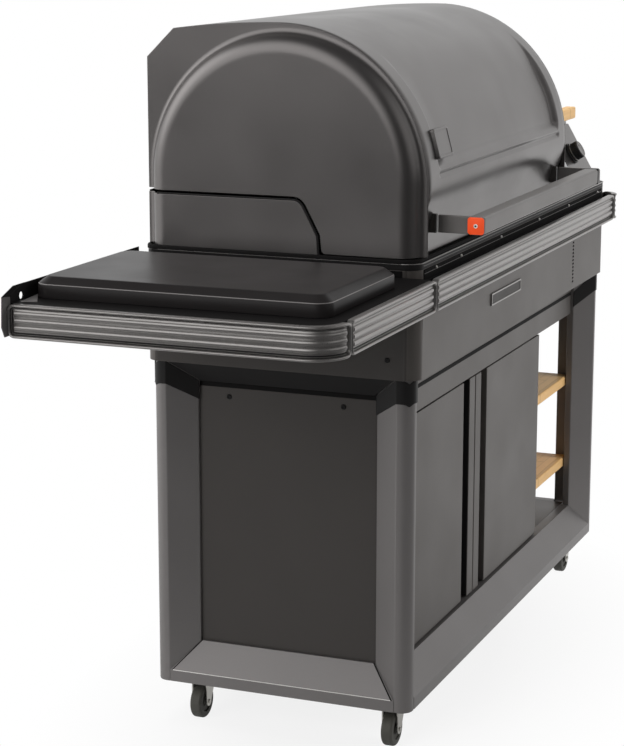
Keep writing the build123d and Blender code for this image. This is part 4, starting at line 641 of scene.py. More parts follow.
def stacked(levels, place=None, cap_first=True, steps=6, closed=False):
    """Rounded rectangles (width, depth, radius, height) stacked into a solid, or into a closed ring."""
    place = place or Matrix()
    rings = [
        [place @ Vector((x, y, height)) for x, y in rounded_rectangle(width, depth, radius, steps)]
        for width, depth, radius, height in levels
    ]
    return loft(rings, cap_first and not closed, not closed, closed)


def moulding(name, slot, start, end, base, corner, section):
    """Bead round a rectangle between two (X, Y) corners; its section is (inset, rise) points."""
    extent, middle = end - start, (start + end) / 2
    levels = [(extent.x - 2 * i, extent.y - 2 * i, corner - i, rise) for i, rise in section]
    bm = stacked(levels, Matrix.Translation((middle.x, middle.y, base)), closed=True)
    return settle(solid(name, bm, slot), 50)


def prism_x(outline, start, end):
    """Solid of a closed (Y, Z) outline carried along X; the outline runs anticlockwise seen from +X."""
    return loft([[Vector((x, y, z)) for y, z in outline] for x in (start, end)])


def corner_arc(before, corner, after, radius, steps=6):
    """Points of the arc that rounds one corner of a flat path."""
    corner = Vector(corner)
    back, on = (Vector(before) - corner).normalized(), (Vector(after) - corner).normalized()
    half = back.angle(on) / 2
    centre = corner + (back + on).normalized() * radius / sin(half)
    spokes = [corner + way * radius / tan(half) - centre for way in (back, on)]
    start, end = (atan2(spoke.y, spoke.x) for spoke in spokes)
    sweep = (end - start + pi) % (2 * pi) - pi
    turns = [start + sweep * step / steps for step in range(steps + 1)]
    return [(centre.x + radius * cos(turn), centre.y + radius * sin(turn)) for turn in turns]


# Cabinet


class GRILL_OT_cabinet_frame(bpy.types.Operator):
    """Posts, sills, headers and the black caps on the posts"""

    bl_idname = "grill.cabinet_frame"
    bl_label = "Cabinet Frame"

    # Foot and head of each of the sill's joints, from front to rear, and the joint's width
    joints = ((-182.3, -135.6, 3.2), (256.3, 209.6, -2.0))
    # Span from front to rear of the pale strip painted as the lip's highlight
    lip_highlight_span = (-179.0, 254.0)

    def execute(self, context):
        size = sizes()
        dressed("corner_posts", "frame_grey", 1.6, 3)
        dressed("base_sills", "frame_grey", 0.5)
        dressed("post_caps", "black_trim", 1.0)
        headers = dressed("top_headers", "black_trim", 1.0)
        door = reach("left_door")[0]
        repaint(headers, "panel_grey", lambda spot, facing: abs(spot.y - door.y) < 3)
        right = sum(corner.x for corner in reach("base_sills")) - door.x
        top = reach("top_headers")[1].z - size.header_drop
        # Painted shadow: a dull black strip across the front header stands for the shaded gap under the housing
        foot = (door.x, door.y - 0.7, top - size.header_gap)
        gap = strip("header_gap", "matt_black", foot, (right, door.y + 0.4, top), 0.2)
        hang(gap, "black_trim", body="cabinet")
        self.sill_trim()
        return {"FINISHED"}

    def sill_trim(self):
        """Dark joints at both ends of the left sill, and a pale strip along its lip as a painted highlight."""
        low, high = reach("base_sills")
        lip, inner = sizes().sill_lip, low.x + sizes().sill_bevel
        outward = Vector((-0.83, 0.0, 0.56))
        pieces = []
        for toe, heel, width in self.joints:
            line = [(low.x, toe, lip), (inner, heel, high.z)]
            line += [(inner, heel + width, high.z), (low.x, toe + width, lip)]
            rings = [[Vector(spot) + outward * rise for spot in line] for rise in (-0.4, 0.5)]
            pieces.append(solid("joint", skinned(rings), "matt_black"))
        near, far = self.lip_highlight_span
        # Painted highlight: a pale strip along the lip's edge
        edge = ((low.x - 0.3, near, lip - 0.4), (low.x + 0.9, far, lip + 0.9))
        pieces.append(strip("lip_edge", "pale_rivet", *edge, 0.4))
        hang(joined("sill_trim", *pieces), "frame_grey", body="cabinet")


class GRILL_OT_cabinet_panels(bpy.types.Operator):
    """Side and back panels, floor, divider and the two doors"""

    bl_idname = "grill.cabinet_panels"
    bl_label = "Cabinet Panels"

    def execute(self, context):
        hang(copied("left_side_panel", "side_grey", 0.7), "panel_grey", "left_side_panel")
        low, high = reach("left_side_panel")
        top = (high.x - 0.4, high.y, high.z + sizes().panel_gap)
        lip = strip("side_panel_lip", "matt_black", (low.x + 0.4, low.y, high.z - 2), top)
        hang(lip, "black_trim", body="cabinet")
        dress_all("panel_grey", ("back_panel", "bay_divider", "floor_panel"), 0.7)
        left_door = dress_all("panel_grey", ("left_door", "right_door"), 1.5, 3)[0]
        # Painted shade in the left door's finger groove
        self.shade_groove(left_door, *reach("left_door"))
        return {"FINISHED"}

    def shade_groove(self, door, low, high):
        """Blackens the upright finger groove near the door's free edge as painted shade."""
        start, end = high.x - 75, high.x - 33
        repaint(door, "black_trim", lambda spot, facing: (
            start < spot.x < end and spot.y > low.y + 2.5 and low.z + 2 < spot.z < high.z - 2
        ))


class GRILL_OT_casters(bpy.types.Operator):
    """Caster plates, forks, wheels and brake levers"""

    bl_idname = "grill.casters"
    bl_label = "Casters"

    def execute(self, context):
        corners = ("front_left", "rear_left", "front_right", "rear_right")
        dressed("caster_plates", "zinc", 0.6)
        for corner in corners:
            dressed("caster_fork_" + corner, "zinc", 0.6)
            dressed("caster_wheel_" + corner, "wheel_rubber", 0.5)
        for corner in corners[:2]:
            dressed("brake_lever_" + corner, "lever_black", 0.8)
        return {"FINISHED"}


class GRILL_OT_housing(bpy.types.Operator):
    """Upper housing and the deck under the barrel"""

    bl_idname = "grill.housing"
    bl_label = "Housing"

    # Places of the small screws on the painted shade strip across the front
    screw_places = (-314, -174, 73, 335, 560, 800)

    def execute(self, context):
        low, high = reach("lower_housing")
        housing = copied("lower_housing", "panel_grey", 0.9, cut=self.vents(low.y))
        # Painted shade: the housing's faces turned to the left take the darker side grey
        repaint(housing, "side_grey", lambda spot, facing: facing.x < -0.95)
        hang(housing, "panel_grey", "lower_housing")
        dressed("housing_deck", "black_trim", 1.0)
        self.deck_rim()
        self.foot_moulding()
        self.fascia_plate(low.y)
        self.rail_shade(low, high)
        return {"FINISHED"}

    def vents(self, face):
        """Row of short slots at the right of the front."""
        size = sizes()
        width, height, rounding, half_depth = 12.0, 4.2, 2.0, 6.0
        levels = [(width, height, rounding, depth) for depth in (-half_depth, half_depth)]
        bm = bmesh.new()
        for step in range(size.vents):
            middle = Matrix.Translation((size.vent_x, face, size.vent_foot + size.vent_pitch * step))
            slot = meshed("slot", stacked(levels, middle @ Matrix.Rotation(pi / 2, 4, "X"), steps=4))
            bm.from_mesh(slot)
            bpy.data.meshes.remove(slot)
        return bm

    def deck_rim(self):
        """Thin bright bead round the deck's upper edge and a second one along its front; their pale colours on
        the black deck are painted highlight along its edges.
        """
        low, high = reach("housing_deck")
        corner = sizes().deck_corner
        section = [(-1.2, -1.5), (-1.5, -0.9), (-1.3, -0.2), (-0.6, 0.2)]
        section += [(0.2, 0.2), (0.8, -0.2), (0.8, -1.5)]
        bead = moulding("upper_bead", "rail_silver", low.xy, high.xy, high.z, corner, section)
        front = strip(
            "front_bead", "frame_grey", (low.x + corner, low.y - 0.9, high.z - 7.0),
            (high.x - corner, low.y + 1.0, high.z - 5.6), 0.5,
        )
        hang(joined("deck_rim", bead, front), "frame_grey", body="cabinet")

    def foot_moulding(self):
        """Black rounded moulding on the deck, round the barrel's foot."""
        left, right = reach("lid_left_end")[0].x, reach("lid_right_end")[1].x
        low, high = reach("housing_deck")
        start, end = Vector((left - 2.4, low.y + 2.0)), Vector((right + 2.4, high.y + 1.5))
        section = [(0, -1), (0, 4.4), (0.8, 6.2), (2.2, 7.0), (5.6, 7.0), (6.4, 6.2), (6.4, -1)]
        corner = sizes().deck_corner + 1
        ring = moulding("foot_moulding", "matt_black", start, end, high.z, corner, section)
        hang(ring, "black_trim", body="cabinet")

    def fascia_plate(self, face):
        """Bare plate with a bright rim on the housing's front."""
        size = sizes()
        place = Matrix.Translation((size.fascia_x, face, size.fascia_z)) @ Matrix.Rotation(pi / 2, 4, "X")
        levels = [(194, 24, 2.2, -0.4), (194, 24, 2.2, 2.0), (193, 23, 1.8, 2.8)]
        levels += [(187.6, 17.6, 1.2, 2.8), (187, 17, 1.0, 1.9)]
        plate = settle(solid("fascia_plate", stacked(levels, place), "rail_silver"), 30)
        repaint(plate, "side_grey", lambda spot, facing: facing.y < -0.9 and face - 2.2 < spot.y < face - 1.6)
        hang(plate, "handle_steel", body="cabinet")

    def rail_shade(self, low, high):
        """Black strips behind the rail and above the side shelf as painted shade, with a light strip along the
        seam as painted highlight, and small screws.
        """
        corner, face, top = sizes().deck_corner + 1, low.y, high.z - 0.6
        left, channel = low.x + corner, reach("rail_channel")[1]
        shelf = reach("side_shelf")[1].z
        seam = shelf + 3.8
        side = ((low.x - 0.8, low.y + corner, shelf), (low.x + 0.2, high.y, top))
        # Painted shade on the housing's front and left faces, and a painted highlight strip along the seam
        pieces = [
            strip("back", "matt_black", (left, face - 1.4, channel.z), (channel.x, face + 0.2, top), 0.4),
            strip("seam", "frame_grey", (left, face - 2.0, seam), (channel.x, face - 1.2, seam + 0.9), 0.3),
            strip("side", "matt_black", *side, 0.3),
        ]
        spots = [((x, face - 1.3, top - 4.5), Vector((0, -1, 0))) for x in self.screw_places]
        pieces.append(scatter("liner_screws", spots, screw_head(2.6), "pale_rivet"))
        hang(joined("channel_liner", *pieces), "black_trim", body="cabinet")


# Barrel


def lid_size():
    """Front, rear, foot and top of the lid's side profile, from its left end."""
    low, high = reach("lid_left_end")
    return low.y, high.y, low.z, high.z


def back_bends():
    """The two bends at the lid's rear, as (Y, Z)."""
    size = sizes()
    high = reach("lid_left_end")[1]
    upper = high.z - size.back_drop
    return (high.y - size.bend_run, upper), (high.y, upper - size.bend_drop)


def lid_profile():
    """Lid's side profile from front foot to rear foot: (y, z, arch angle), the angle None off the arch."""
    size = sizes()
    front, rear, foot, top = lid_size()
    radius = size.arch_radius
    centre = (front + radius, top - radius)
    rear_foot, rear_middle = reach("lid_skin")[0].z + size.rear_rise, 1150.0
    # Rows lie closer where the pressed panel begins
    angles = [step * 0.75 for step in range(4)] + [2.5 + step * 0.32 for step in range(29)]
    angles += [12 + step * 2.6 for step in range(31)]
    path = [(front, foot + (centre[1] - foot) * step / 12, None) for step in range(12)]
    turns = [radians(angle) for angle in angles]
    path += [(centre[0] - radius * cos(turn), centre[1] + radius * sin(turn), turn) for turn in turns]
    first, second = back_bends()
    run, drop = first[0] - centre[0], size.back_drop
    crown = (run * run + drop * drop) / (2 * drop)
    for step in range(1, 9):
        y = centre[0] + run * 0.95 * step / 8
        path.append((y, top - crown + (crown**2 - (y - centre[0]) ** 2) ** 0.5, None))
    path += [(y, z, None) for y, z in corner_arc(path[-1][:2], first, second, size.bend_round)]
    path += [(y, z, None) for y, z in corner_arc(first, second, (rear, rear_foot), size.bend_round)]
    path += [(rear, z, None) for z in (rear_middle, rear_foot)]
    return path


def smooth_step(value):
    """Eases a 0 to 1 value in and out."""
    value = min(max(value, 0.0), 1.0)
    return value * value * (3 - 2 * value)


def recess_at(x, angle, left, right):
    """Depth of the pressed panel at a place on the lid's arch."""
    size = sizes()
    if angle is None:
        return 0.0
    bottom = asin(size.recess_lift / size.arch_radius)
    across = (x - left - size.recess_margin_left) / size.recess_wall
    back = (right - size.recess_margin_right - x) / size.recess_wall
    up = (angle - bottom) * size.arch_radius / size.recess_step
    side = min(across, back, 1.0)
    crease_below, crease_half = 0.3, 0.34
    crease = max(1 - ((up + crease_below) / crease_half) ** 2, 0.0) ** 2 * smooth_step(side)
    up = min(up, 1.0)
    inner = 1 - hypot(1 - side, 1 - up) if side > 0 and up > 0 else 0.0
    fade_from, fade_over = radians(28), radians(26)
    fade = 1 - smooth_step((angle - fade_from) / fade_over)
    return size.recess_depth * smooth_step(inner) * fade + size.recess_crease * crease


class GRILL_OT_lid_skin(bpy.types.Operator):
    """Rolled skin of the lid with its pressed panel and bare plate"""

    bl_idname = "grill.lid_skin"
    bl_label = "Lid Skin"

    def execute(self, context):
        size = sizes()
        low, high = reach("lid_skin")
        wall = size.recess_wall
        left_wall, right_wall = low.x + size.recess_margin_left, high.x - size.recess_margin_right
        wall_spans, spans = 8, 14
        across_wall = [wall * step / wall_spans for step in range(wall_spans + 1)]
        columns = [low.x, low.x + 20, left_wall - 12, left_wall - 4]
        columns += [left_wall + x for x in across_wall]
        inner = right_wall - wall - (left_wall + wall)
        columns += [left_wall + wall + inner * step / spans for step in range(1, spans)]
        columns += [right_wall - wall + x for x in across_wall]
        columns += [right_wall + 4, right_wall + 12, high.x - 15, high.x]
        spring = high.z - size.arch_radius
        bm = bmesh.new()
        rows = []
        for y, z, angle in lid_profile():
            row = []
            for x in columns:
                sink = recess_at(x, angle, low.x, high.x)
                turn = angle or 0.0
                tuck = size.lid_tuck * smooth_step((spring - z) / size.tuck_height) if y < 0 else 0.0
                row.append(bm.verts.new((x, y + sink * cos(turn) + tuck, z - sink * sin(turn))))
            rows.append(row)
        for first, second in zip(rows, rows[1:]):
            for i in range(len(columns) - 1):
                bm.faces.new((first[i], first[i + 1], second[i + 1], second[i]))
        skin = settle(ease(thicken(solid("skin", bm, "lid_grey"), size.sheet), 0.8, 2, 60))
        plate = self.plate()
        hang(joined("lid_skin_piece", skin, plate), "lid_grey", "lid_skin")
        return {"FINISHED"}

    def plate(self):
        """Bare plate standing on the lid's front, at the place that the CAD gives it."""
        size = sizes()
        radius = size.arch_radius
        low, high = reach("lid_left_end")
        centre = Vector((size.plate_x, low.y + radius, high.z - radius))
        tilt = asin((size.plate_z - centre.z) / radius)
        middle = centre + Vector((0, -cos(tilt), sin(tilt))) * radius
        place = Matrix.Translation(middle) @ Matrix.Rotation(pi / 2 - tilt, 4, "X")
        rise = size.plate_rise
        levels = [(76, 53, 4, -14), (76, 53, 4, rise - 2), (75, 52, 3.6, rise - 0.6), (73, 50, 2.8, rise)]
        levels += [(66, 43, 2.0, rise), (65.2, 42.2, 2.0, rise - 0.8)]
        return settle(solid("plate", stacked(levels, place), "lid_grey"), 30)


def seam_path(gap):
    """Seam in the barrel's ends from the deck to the rear, moved towards the lid by a gap: (Y, Z)."""
    size = sizes()
    low, high = reach("barrel_shell")
    points = [Vector((size.seam_foot, low.z)), Vector((size.seam_knee, size.seam_knee_height))]
    points += [Vector((y, size.seam_height)) for y in (size.seam_turn, high.y + SEAM_PAST)]
    lines = []
    for start, end in zip(points, points[1:]):
        along = (end - start).normalized()
        shift = Vector((-along.y, along.x)) * gap
        lines.append((start + shift, along))
    moved = [lines[0][0]]
    for (a, u), (b, v) in zip(lines, lines[1:]):
        cross = u.x * v.y - u.y * v.x
        reach_on = ((b - a).x * v.y - (b - a).y * v.x) / cross
        moved.append(a + u * reach_on)
    moved.append(points[-1] + Vector((0, gap)))
    path = [tuple(moved[0]), tuple(moved[1])]
    path += corner_arc(moved[1], moved[2], moved[3], size.seam_round + gap, 8)
    return path + [tuple(moved[3])]


def end_sheet():
    """Pressed left end of the whole barrel as one open sheet: flange, shoulder and flat field."""
    size = sizes()
    low, high = reach("lid_left_end")
    front, rear, top = low.y, high.y, high.z
    flange_x = high.x - size.sheet
    # The dome stands inside a narrow flange along the lid's outline
    dome_front, dome_rear, dome_top = front + 5, rear - 4, top - 9
    middle, radius = (dome_front + dome_rear) / 2, (dome_rear - dome_front) / 2
    spring = dome_top - radius
    below = 870.0
    furthest, tries_per_mm = 400, 6
    bends = back_bends()
    arch = (front + size.arch_radius, top - size.arch_radius)
    crown = ((bends[0][0] - arch[0]) ** 2 + size.back_drop**2) / (2 * size.back_drop)

    def outline_hit(turn):
        """Distance from the dome's centre to the lid's outline in a direction."""
        along = Vector((-cos(turn), sin(turn)))
        for step in range(furthest * tries_per_mm, 0, -1):
            y, z = middle + along.x * step / tries_per_mm, spring + along.y * step / tries_per_mm
            if inside(y, z):
                return step / tries_per_mm
        raise ValueError("no outline in this direction")

    def inside(y, z):
        """Whether a place lies within the lid's side profile."""
        if y < front or y > rear or z > top:
            return False
        if y < arch[0] and z > arch[1] and hypot(y - arch[0], z - arch[1]) > size.arch_radius:
            return False
        if arch[0] <= y <= bends[0][0] and z > top - crown + (crown**2 - (y - arch[0]) ** 2) ** 0.5:
            return False
        slope = size.bend_drop / size.bend_run
        return not (y > bends[0][0] and z > bends[0][1] - (y - bends[0][0]) * slope)

    from_centre = [pi - Vector((y - middle, z - spring)).angle((1, 0)) for y, z in bends]
    turns = sorted([pi * step / 60 for step in range(61)] + from_centre)
    slope, hollow, shoulder = size.dome_slope, size.dome_hollow, size.dome_round
    rows = [None]
    for step in range(7):
        a = slope * step / 6
        rows.append((-1 + hollow * sin(a), hollow * (1 - cos(a))))
    for step in range(1, 13):
        a = slope * (1 - step / 12)
        inset = -1 + hollow * sin(slope) + shoulder * (sin(slope) - sin(a))
        rows.append((inset, hollow * (1 - cos(slope)) + shoulder * (cos(a) - cos(slope))))
    rows += [(rows[-1][0] + 4, rows[-1][1]), (rows[-1][0] + 14, rows[-1][1])]
    bm = bmesh.new()
    grid = []
    hits = {turn: outline_hit(turn) for turn in turns}
    for row in rows:
        line = []
        heights = [below, (below + spring) / 2]
        if row is None:
            line += [(front, z) for z in heights]
            line += [(middle - cos(t) * hits[t], spring + sin(t) * hits[t]) for t in turns]
            line += [(rear, z) for z in reversed(heights)]
            depth = 0.0
        else:
            inset, depth = row
            r = radius - inset
            line += [(middle - r, z) for z in heights]
            line += [(middle - cos(t) * r, spring + sin(t) * r) for t in turns]
            line += [(middle + r, z) for z in reversed(heights)]
        grid.append([bm.verts.new((flange_x - depth, y, z)) for y, z in line])
    for outer, inner in zip(grid, grid[1:]):
        for i in range(len(outer) - 1):
            bm.faces.new((outer[i], outer[i + 1], inner[i + 1], inner[i]))
    bm.faces.new(grid[-1])
    bmesh.ops.recalc_face_normals(bm, faces=bm.faces)
    field = max(bm.faces, key=lambda face: face.calc_area())
    if field.normal.x > 0:
        bmesh.ops.reverse_faces(bm, faces=bm.faces)
    return settle(thicken(solid("end_sheet", bm, "lid_grey"), size.sheet))


class GRILL_OT_barrel_ends(bpy.types.Operator):
    """Domed ends of the lid and the fixed ends and rear wall below its seam"""

    bl_idname = "grill.barrel_ends"
    bl_label = "Barrel Ends"

    def execute(self, context):
        size = sizes()
        left_low, left_high = reach("lid_left_end")
        right_low, right_high = reach("lid_right_end")
        shell_low, shell_high = reach("barrel_shell")
        middle = (left_low.x + right_high.x) / 2
        clear = 40
        span = (left_low.x - clear / 2, left_high.x + clear / 2)
        front, rear, foot, top = lid_size()
        ahead, behind, over = front - clear, rear + SEAM_PAST, top + clear
        above = seam_path(size.seam_gap)
        corner = corner_arc((ahead, foot), (above[0][0], foot), above[1], size.foot_round)
        lid_region = [(ahead, foot)] + corner + above[1:] + [(behind, over), (ahead, over)]
        fixed_region = [(behind, shell_low.z)] + seam_path(-size.seam_drop)
        lid_end = softened(carve(end_sheet(), prism_x(lid_region, *span)), 0.9)
        lid_end.name = "lid_left_end_piece"
        fixed_end = softened(carve(end_sheet(), prism_x(fixed_region, *span)), 0.9)
        other = mirrored(lid_end, "lid_right_end_piece", middle)
        hang(lid_end, "lid_grey", "lid_left_end")
        hang(other, "lid_grey", "lid_right_end")
        rear_wall = strip(
            "rear_wall", "lid_grey", (left_high.x, shell_high.y - size.sheet, shell_low.z),
            (right_low.x, shell_high.y, shell_high.z), 0.6,
        )
        fixed_other = mirrored(fixed_end, "fixed_right", middle)
        hang(joined("barrel_shell_piece", fixed_end, fixed_other, rear_wall), "lid_grey", "barrel_shell")
        line = [p for p in seam_path(-size.seam_drop / 2) if p[0] < rear]
        line.append((rear - 30, size.seam_height - 1.5))
        seal = self.seal(left_low.x + size.sheet + 0.8, line, 2.1)
        other_seal = mirrored(seal, "seal_right", middle)
        hang(joined("barrel_seals", seal, other_seal), "black_trim", body="cabinet")
        return {"FINISHED"}

    def seal(self, x, line, radius):
        """Black cord lying in the seam of one end."""
        turns = [2 * pi * step / 10 for step in range(10)]
        rings = []
        for i, (y, z) in enumerate(line):
            along = (Vector(line[min(i + 1, len(line) - 1)]) - Vector(line[max(i - 1, 0)])).normalized()
            aside = Vector((-along.y, along.x)) * radius
            rings.append([
                Vector((x - radius * cos(t), y + aside.x * sin(t), z + aside.y * sin(t))) for t in turns
            ])
        return settle(solid("seal_left", skinned(rings), "black_trim"))


class GRILL_OT_lid_handle(bpy.types.Operator):
    """Square-tube handle and its orange end caps"""

    bl_idname = "grill.lid_handle"
    bl_label = "Lid Handle"

    def execute(self, context):
        dressed("lid_handle", "handle_steel", 1.2, 3)
        low, high = reach("handle_end_caps")
        tube_low, tube_high = reach("lid_handle")
        span, depth = high.z - low.z, tube_low.x - low.x
        middle = ((low.y + high.y) / 2, (low.z + high.z) / 2)
        near = self.cap(low.x + depth, middle, span, depth)
        far = mirrored(near, "far_cap", (low.x + high.x) / 2)
        seam = strip(
            "seam", "matt_black", (tube_high.x - 16, low.y - 0.1, low.z - 0.1),
            (tube_high.x - 7, high.y + 0.1, high.z + 0.1), 1.2,
        )
        hang(joined("handle_end_caps_piece", near, far, seam), "cap_orange", "handle_end_caps")
        self.roots(tube_low, tube_high, low, high)
        return {"FINISHED"}

    def cap(self, foot_x, middle, span, depth):
        """End cap: dark gap, grey bezel, orange face with a silver rivet."""
        place = Matrix.Translation((foot_x, *middle)) @ Matrix.Rotation(-pi / 2, 4, "Y")
        gap = [(span - 2.4, span - 2.4, 4.0, height) for height in (-1.0, 1.2)]
        bezel = [(span - 0.8, span - 0.8, 5.0, 1.0), (span, span, 5.4, 1.5), (span, span, 5.4, depth - 1.8)]
        bezel += [(span - 0.7, span - 0.7, 5.2, depth - 1.1)]
        face = [(span - 0.9, span - 0.9, 5.2, depth - 1.6), (span - 0.9, span - 0.9, 5.2, depth - 0.8)]
        face += [(span - 1.5, span - 1.5, 5.0, depth - 0.25), (span - 3.2, span - 3.2, 4.6, depth)]
        pale, dark = "pale_rivet", "control_black"
        rivet = [(3.8, depth - 1, pale), (3.8, depth + 0.5, pale), (3.2, depth + 1.1, pale)]
        rivet += [(1.9, depth + 1.1, pale), (1.5, depth + 0.4, dark), (0.6, depth + 0.4, dark)]
        pieces = [
            settle(solid("gap", stacked(gap, place), "black_trim")),
            settle(solid("bezel", stacked(bezel, place), "handle_steel")),
            settle(solid("face", stacked(face, place), "cap_orange"), 30),
            lathe("rivet", rivet, place, 20),
        ]
        return joined("near_cap", *pieces)

    def roots(self, low, high, cap_low, cap_high):
        """Dark blocks where the handle's arms meet the lid."""
        back = lid_size()[0] + sizes().lid_tuck + 1.5
        blocks = [
            strip("root", "side_grey", (x, back - 15, cap_low.z - 1), (x + 10, back + 2, cap_high.z + 1), 0.8)
            for x in (low.x - 0.8, high.x - 9.2)
        ]
        hang(joined("handle_roots", *blocks), "black_trim", body="lid")


class GRILL_OT_lid_hinges(bpy.types.Operator):
    """Hinge leaves and pins behind the barrel"""

    bl_idname = "grill.lid_hinges"
    bl_label = "Lid Hinges"

    def execute(self, context):
        dress_all("lid_grey", ("lid_hinge_leaves", "wall_hinge_leaves"), 0.5)
        dressed("hinge_pins", "zinc", 0.4)
        return {"FINISHED"}


# Rails and shelf


class RailRoute:
    """Back line of a rail: a straight run, a left-hand quarter turn and a second run."""

    # Points of each rounded corner of a line inside the rail's outline
    corner_points = 6

    def __init__(self, start, heading, straight, radius=0.0, beyond=0.0):
        self.start, self.heading = Vector(start), Vector(heading)
        self.straight, self.radius = straight, radius
        self.bend = radius * pi / 2
        self.length = straight + self.bend + beyond
        self.stations = [straight + self.bend * step / 12 for step in range(13)] if radius else []

    def place(self, along, out, up):
        """Place at a length along the rail, a distance out from its back and a height."""
        turn = min(max((along - self.straight) / self.radius, 0.0), pi / 2) if self.radius else 0.0
        left = Vector((-self.heading.y, self.heading.x))
        ahead = self.heading * cos(turn) + left * sin(turn)
        spot = self.start + self.heading * min(along, self.straight)
        spot += self.heading * self.radius * sin(turn) + left * self.radius * (1 - cos(turn))
        spot += ahead * max(along - self.straight - self.bend, 0.0)
        spot += Vector((ahead.y, -ahead.x)) * out
        return Vector((spot.x, spot.y, up))

    def loop(self, inset, out, foot, top):
        """Round-cornered line inside the rail's outline, anticlockwise seen from outside."""
        corner = sizes().rail_corner
        radius = max(corner - inset, 1.2)
        run = [s for s in self.stations if corner + 3 < s < self.length - corner - 3]
        ends = (self.length - inset - radius, inset + radius)
        heights = (top - inset - radius, foot + inset + radius)
        points = []
        for quarter, (end, height) in enumerate(((0, 0), (1, 0), (1, 1), (0, 1))):
            for step in range(self.corner_points):
                turn = pi / 2 * (quarter + step / (self.corner_points - 1))
                points.append((ends[end] + radius * cos(turn), heights[height] + radius * sin(turn)))
            if quarter == 0:
                points += [(s, top - inset) for s in reversed(run)]
            if quarter == 2:
                points += [(s, foot + inset) for s in run]
        return [self.place(along, out, up) for along, up in points], len(run)


def repeat_tree(name, *inputs):
    """Geometry tree with named inputs and one output of finished pieces."""
    tree = bpy.data.node_groups.new(name, "GeometryNodeTree")
    for label, kind in inputs:
        tree.interface.new_socket(label, in_out="INPUT", socket_type="NodeSocket" + kind)
    tree.interface.new_socket("Pieces", in_out="OUTPUT", socket_type="NodeSocketGeometry")
    return tree, tree.nodes.new("NodeGroupInput").outputs


def close_tree(tree, placed, material):
    """Ends a geometry tree in plain mesh with its material."""
    real = add(tree, "GeometryNodeRealizeInstances", {0: placed.outputs[0]})
    painted = add(tree, "GeometryNodeSetMaterial", {"Geometry": real.outputs[0], "Material": material})
    add(tree, "NodeGroupOutput", {0: painted.outputs[0]})
    return tree


def rib_tree():
    """Geometry tree of round ribs along a line, one above the other, thinning by the line's taper."""
    tree, given = repeat_tree(
        "ribs_along_line", ("Line", "Geometry"), ("Radius", "Float"), ("Count", "Int"), ("Pitch", "Float"),
        ("Finish", "Material"),
    )
    taper = add(tree, "GeometryNodeInputNamedAttribute", {"Name": "taper"}, data_type="FLOAT")
    curve = add(tree, "GeometryNodeMeshToCurve", {"Mesh": given["Line"]})
    thinned = add(tree, "GeometryNodeSetCurveRadius", {
        "Curve": curve.outputs[0], "Radius": taper.outputs["Attribute"],
    })
    upright = add(tree, "GeometryNodeSetCurveNormal", {"Curve": thinned.outputs[0]}, mode="Z_UP")
    section = add(tree, "GeometryNodeCurvePrimitiveCircle", {"Resolution": 20, "Radius": given["Radius"]})
    flat = add(tree, "GeometryNodeTransform", {"Geometry": section.outputs[0], "Scale": (0.72, 1.0, 1.0)})
    rib = add(tree, "GeometryNodeCurveToMesh", {
        "Curve": upright.outputs[0], "Profile Curve": flat.outputs[0], "Fill Caps": True,
    })
    rise = add(tree, "ShaderNodeCombineXYZ", {"Z": given["Pitch"]})
    ladder = add(tree, "GeometryNodeMeshLine", {"Count": given["Count"], "Offset": rise.outputs[0]})
    placed = add(tree, "GeometryNodeInstanceOnPoints", {
        "Points": ladder.outputs[0], "Instance": rib.outputs[0],
    })
    return close_tree(tree, placed, given["Finish"])


def grow(obj, tree, settings, crease):
    """Runs a geometry tree on an object with inputs given by name, and keeps the result as plain mesh."""
    modifier = obj.modifiers.new("grow", "NODES")
    modifier.node_group = tree
    sockets = {item.name: item.identifier for item in tree.interface.items_tree if item.in_out == "INPUT"}
    for label, value in settings.items():
        modifier[sockets[label]] = value
    settle(obj, crease)
    for label in ("taper", "facing"):
        if label in obj.data.attributes:
            obj.data.attributes.remove(obj.data.attributes[label])
    return obj


def ribs_along(name, route, foot, top):
    """Ribs of a rail's field, with round ends."""
    size = sizes()
    margin = size.rail_field + 3.6
    ends = [(margin + step, taper) for step, taper in ((0.0, 0.3), (0.5, 0.62), (1.3, 0.86), (2.6, 1.0))]
    line = ends + [(s, 1.0) for s in route.stations if margin + 6 < s < route.length - margin - 6]
    line += [(route.length - along, taper) for along, taper in reversed(ends)]
    first = (foot + top) / 2 + size.rail_lift - size.rib_pitch * (size.rail_ribs - 1) / 2
    spots = [route.place(along, size.rail_out - 4.8, first) * MM for along, taper in line]
    mesh = bpy.data.meshes.new(name)
    mesh.from_pydata(spots, [(i, i + 1) for i in range(len(spots) - 1)], [])
    weights = mesh.attributes.new("taper", "FLOAT", "POINT")
    for entry, (along, taper) in zip(weights.data, line):
        entry.value = taper
    return grow(shown(name, mesh), bpy.data.node_groups.get("ribs_along_line") or rib_tree(), {
        "Radius": size.rib_radius * MM, "Count": size.rail_ribs, "Pitch": size.rib_pitch * MM,
        "Finish": finish("rail_silver"),
    }, 50)


def rail_frame(name, route, foot, top, profile):
    """Bead running round a rail; its profile is (inset, out) from the outer foot over the crown."""
    rings = [route.loop(inset, out, foot, top)[0] for inset, out in profile]
    return settle(solid(name, loft(rings, False, False, closed=True), "rail_silver"), 40)


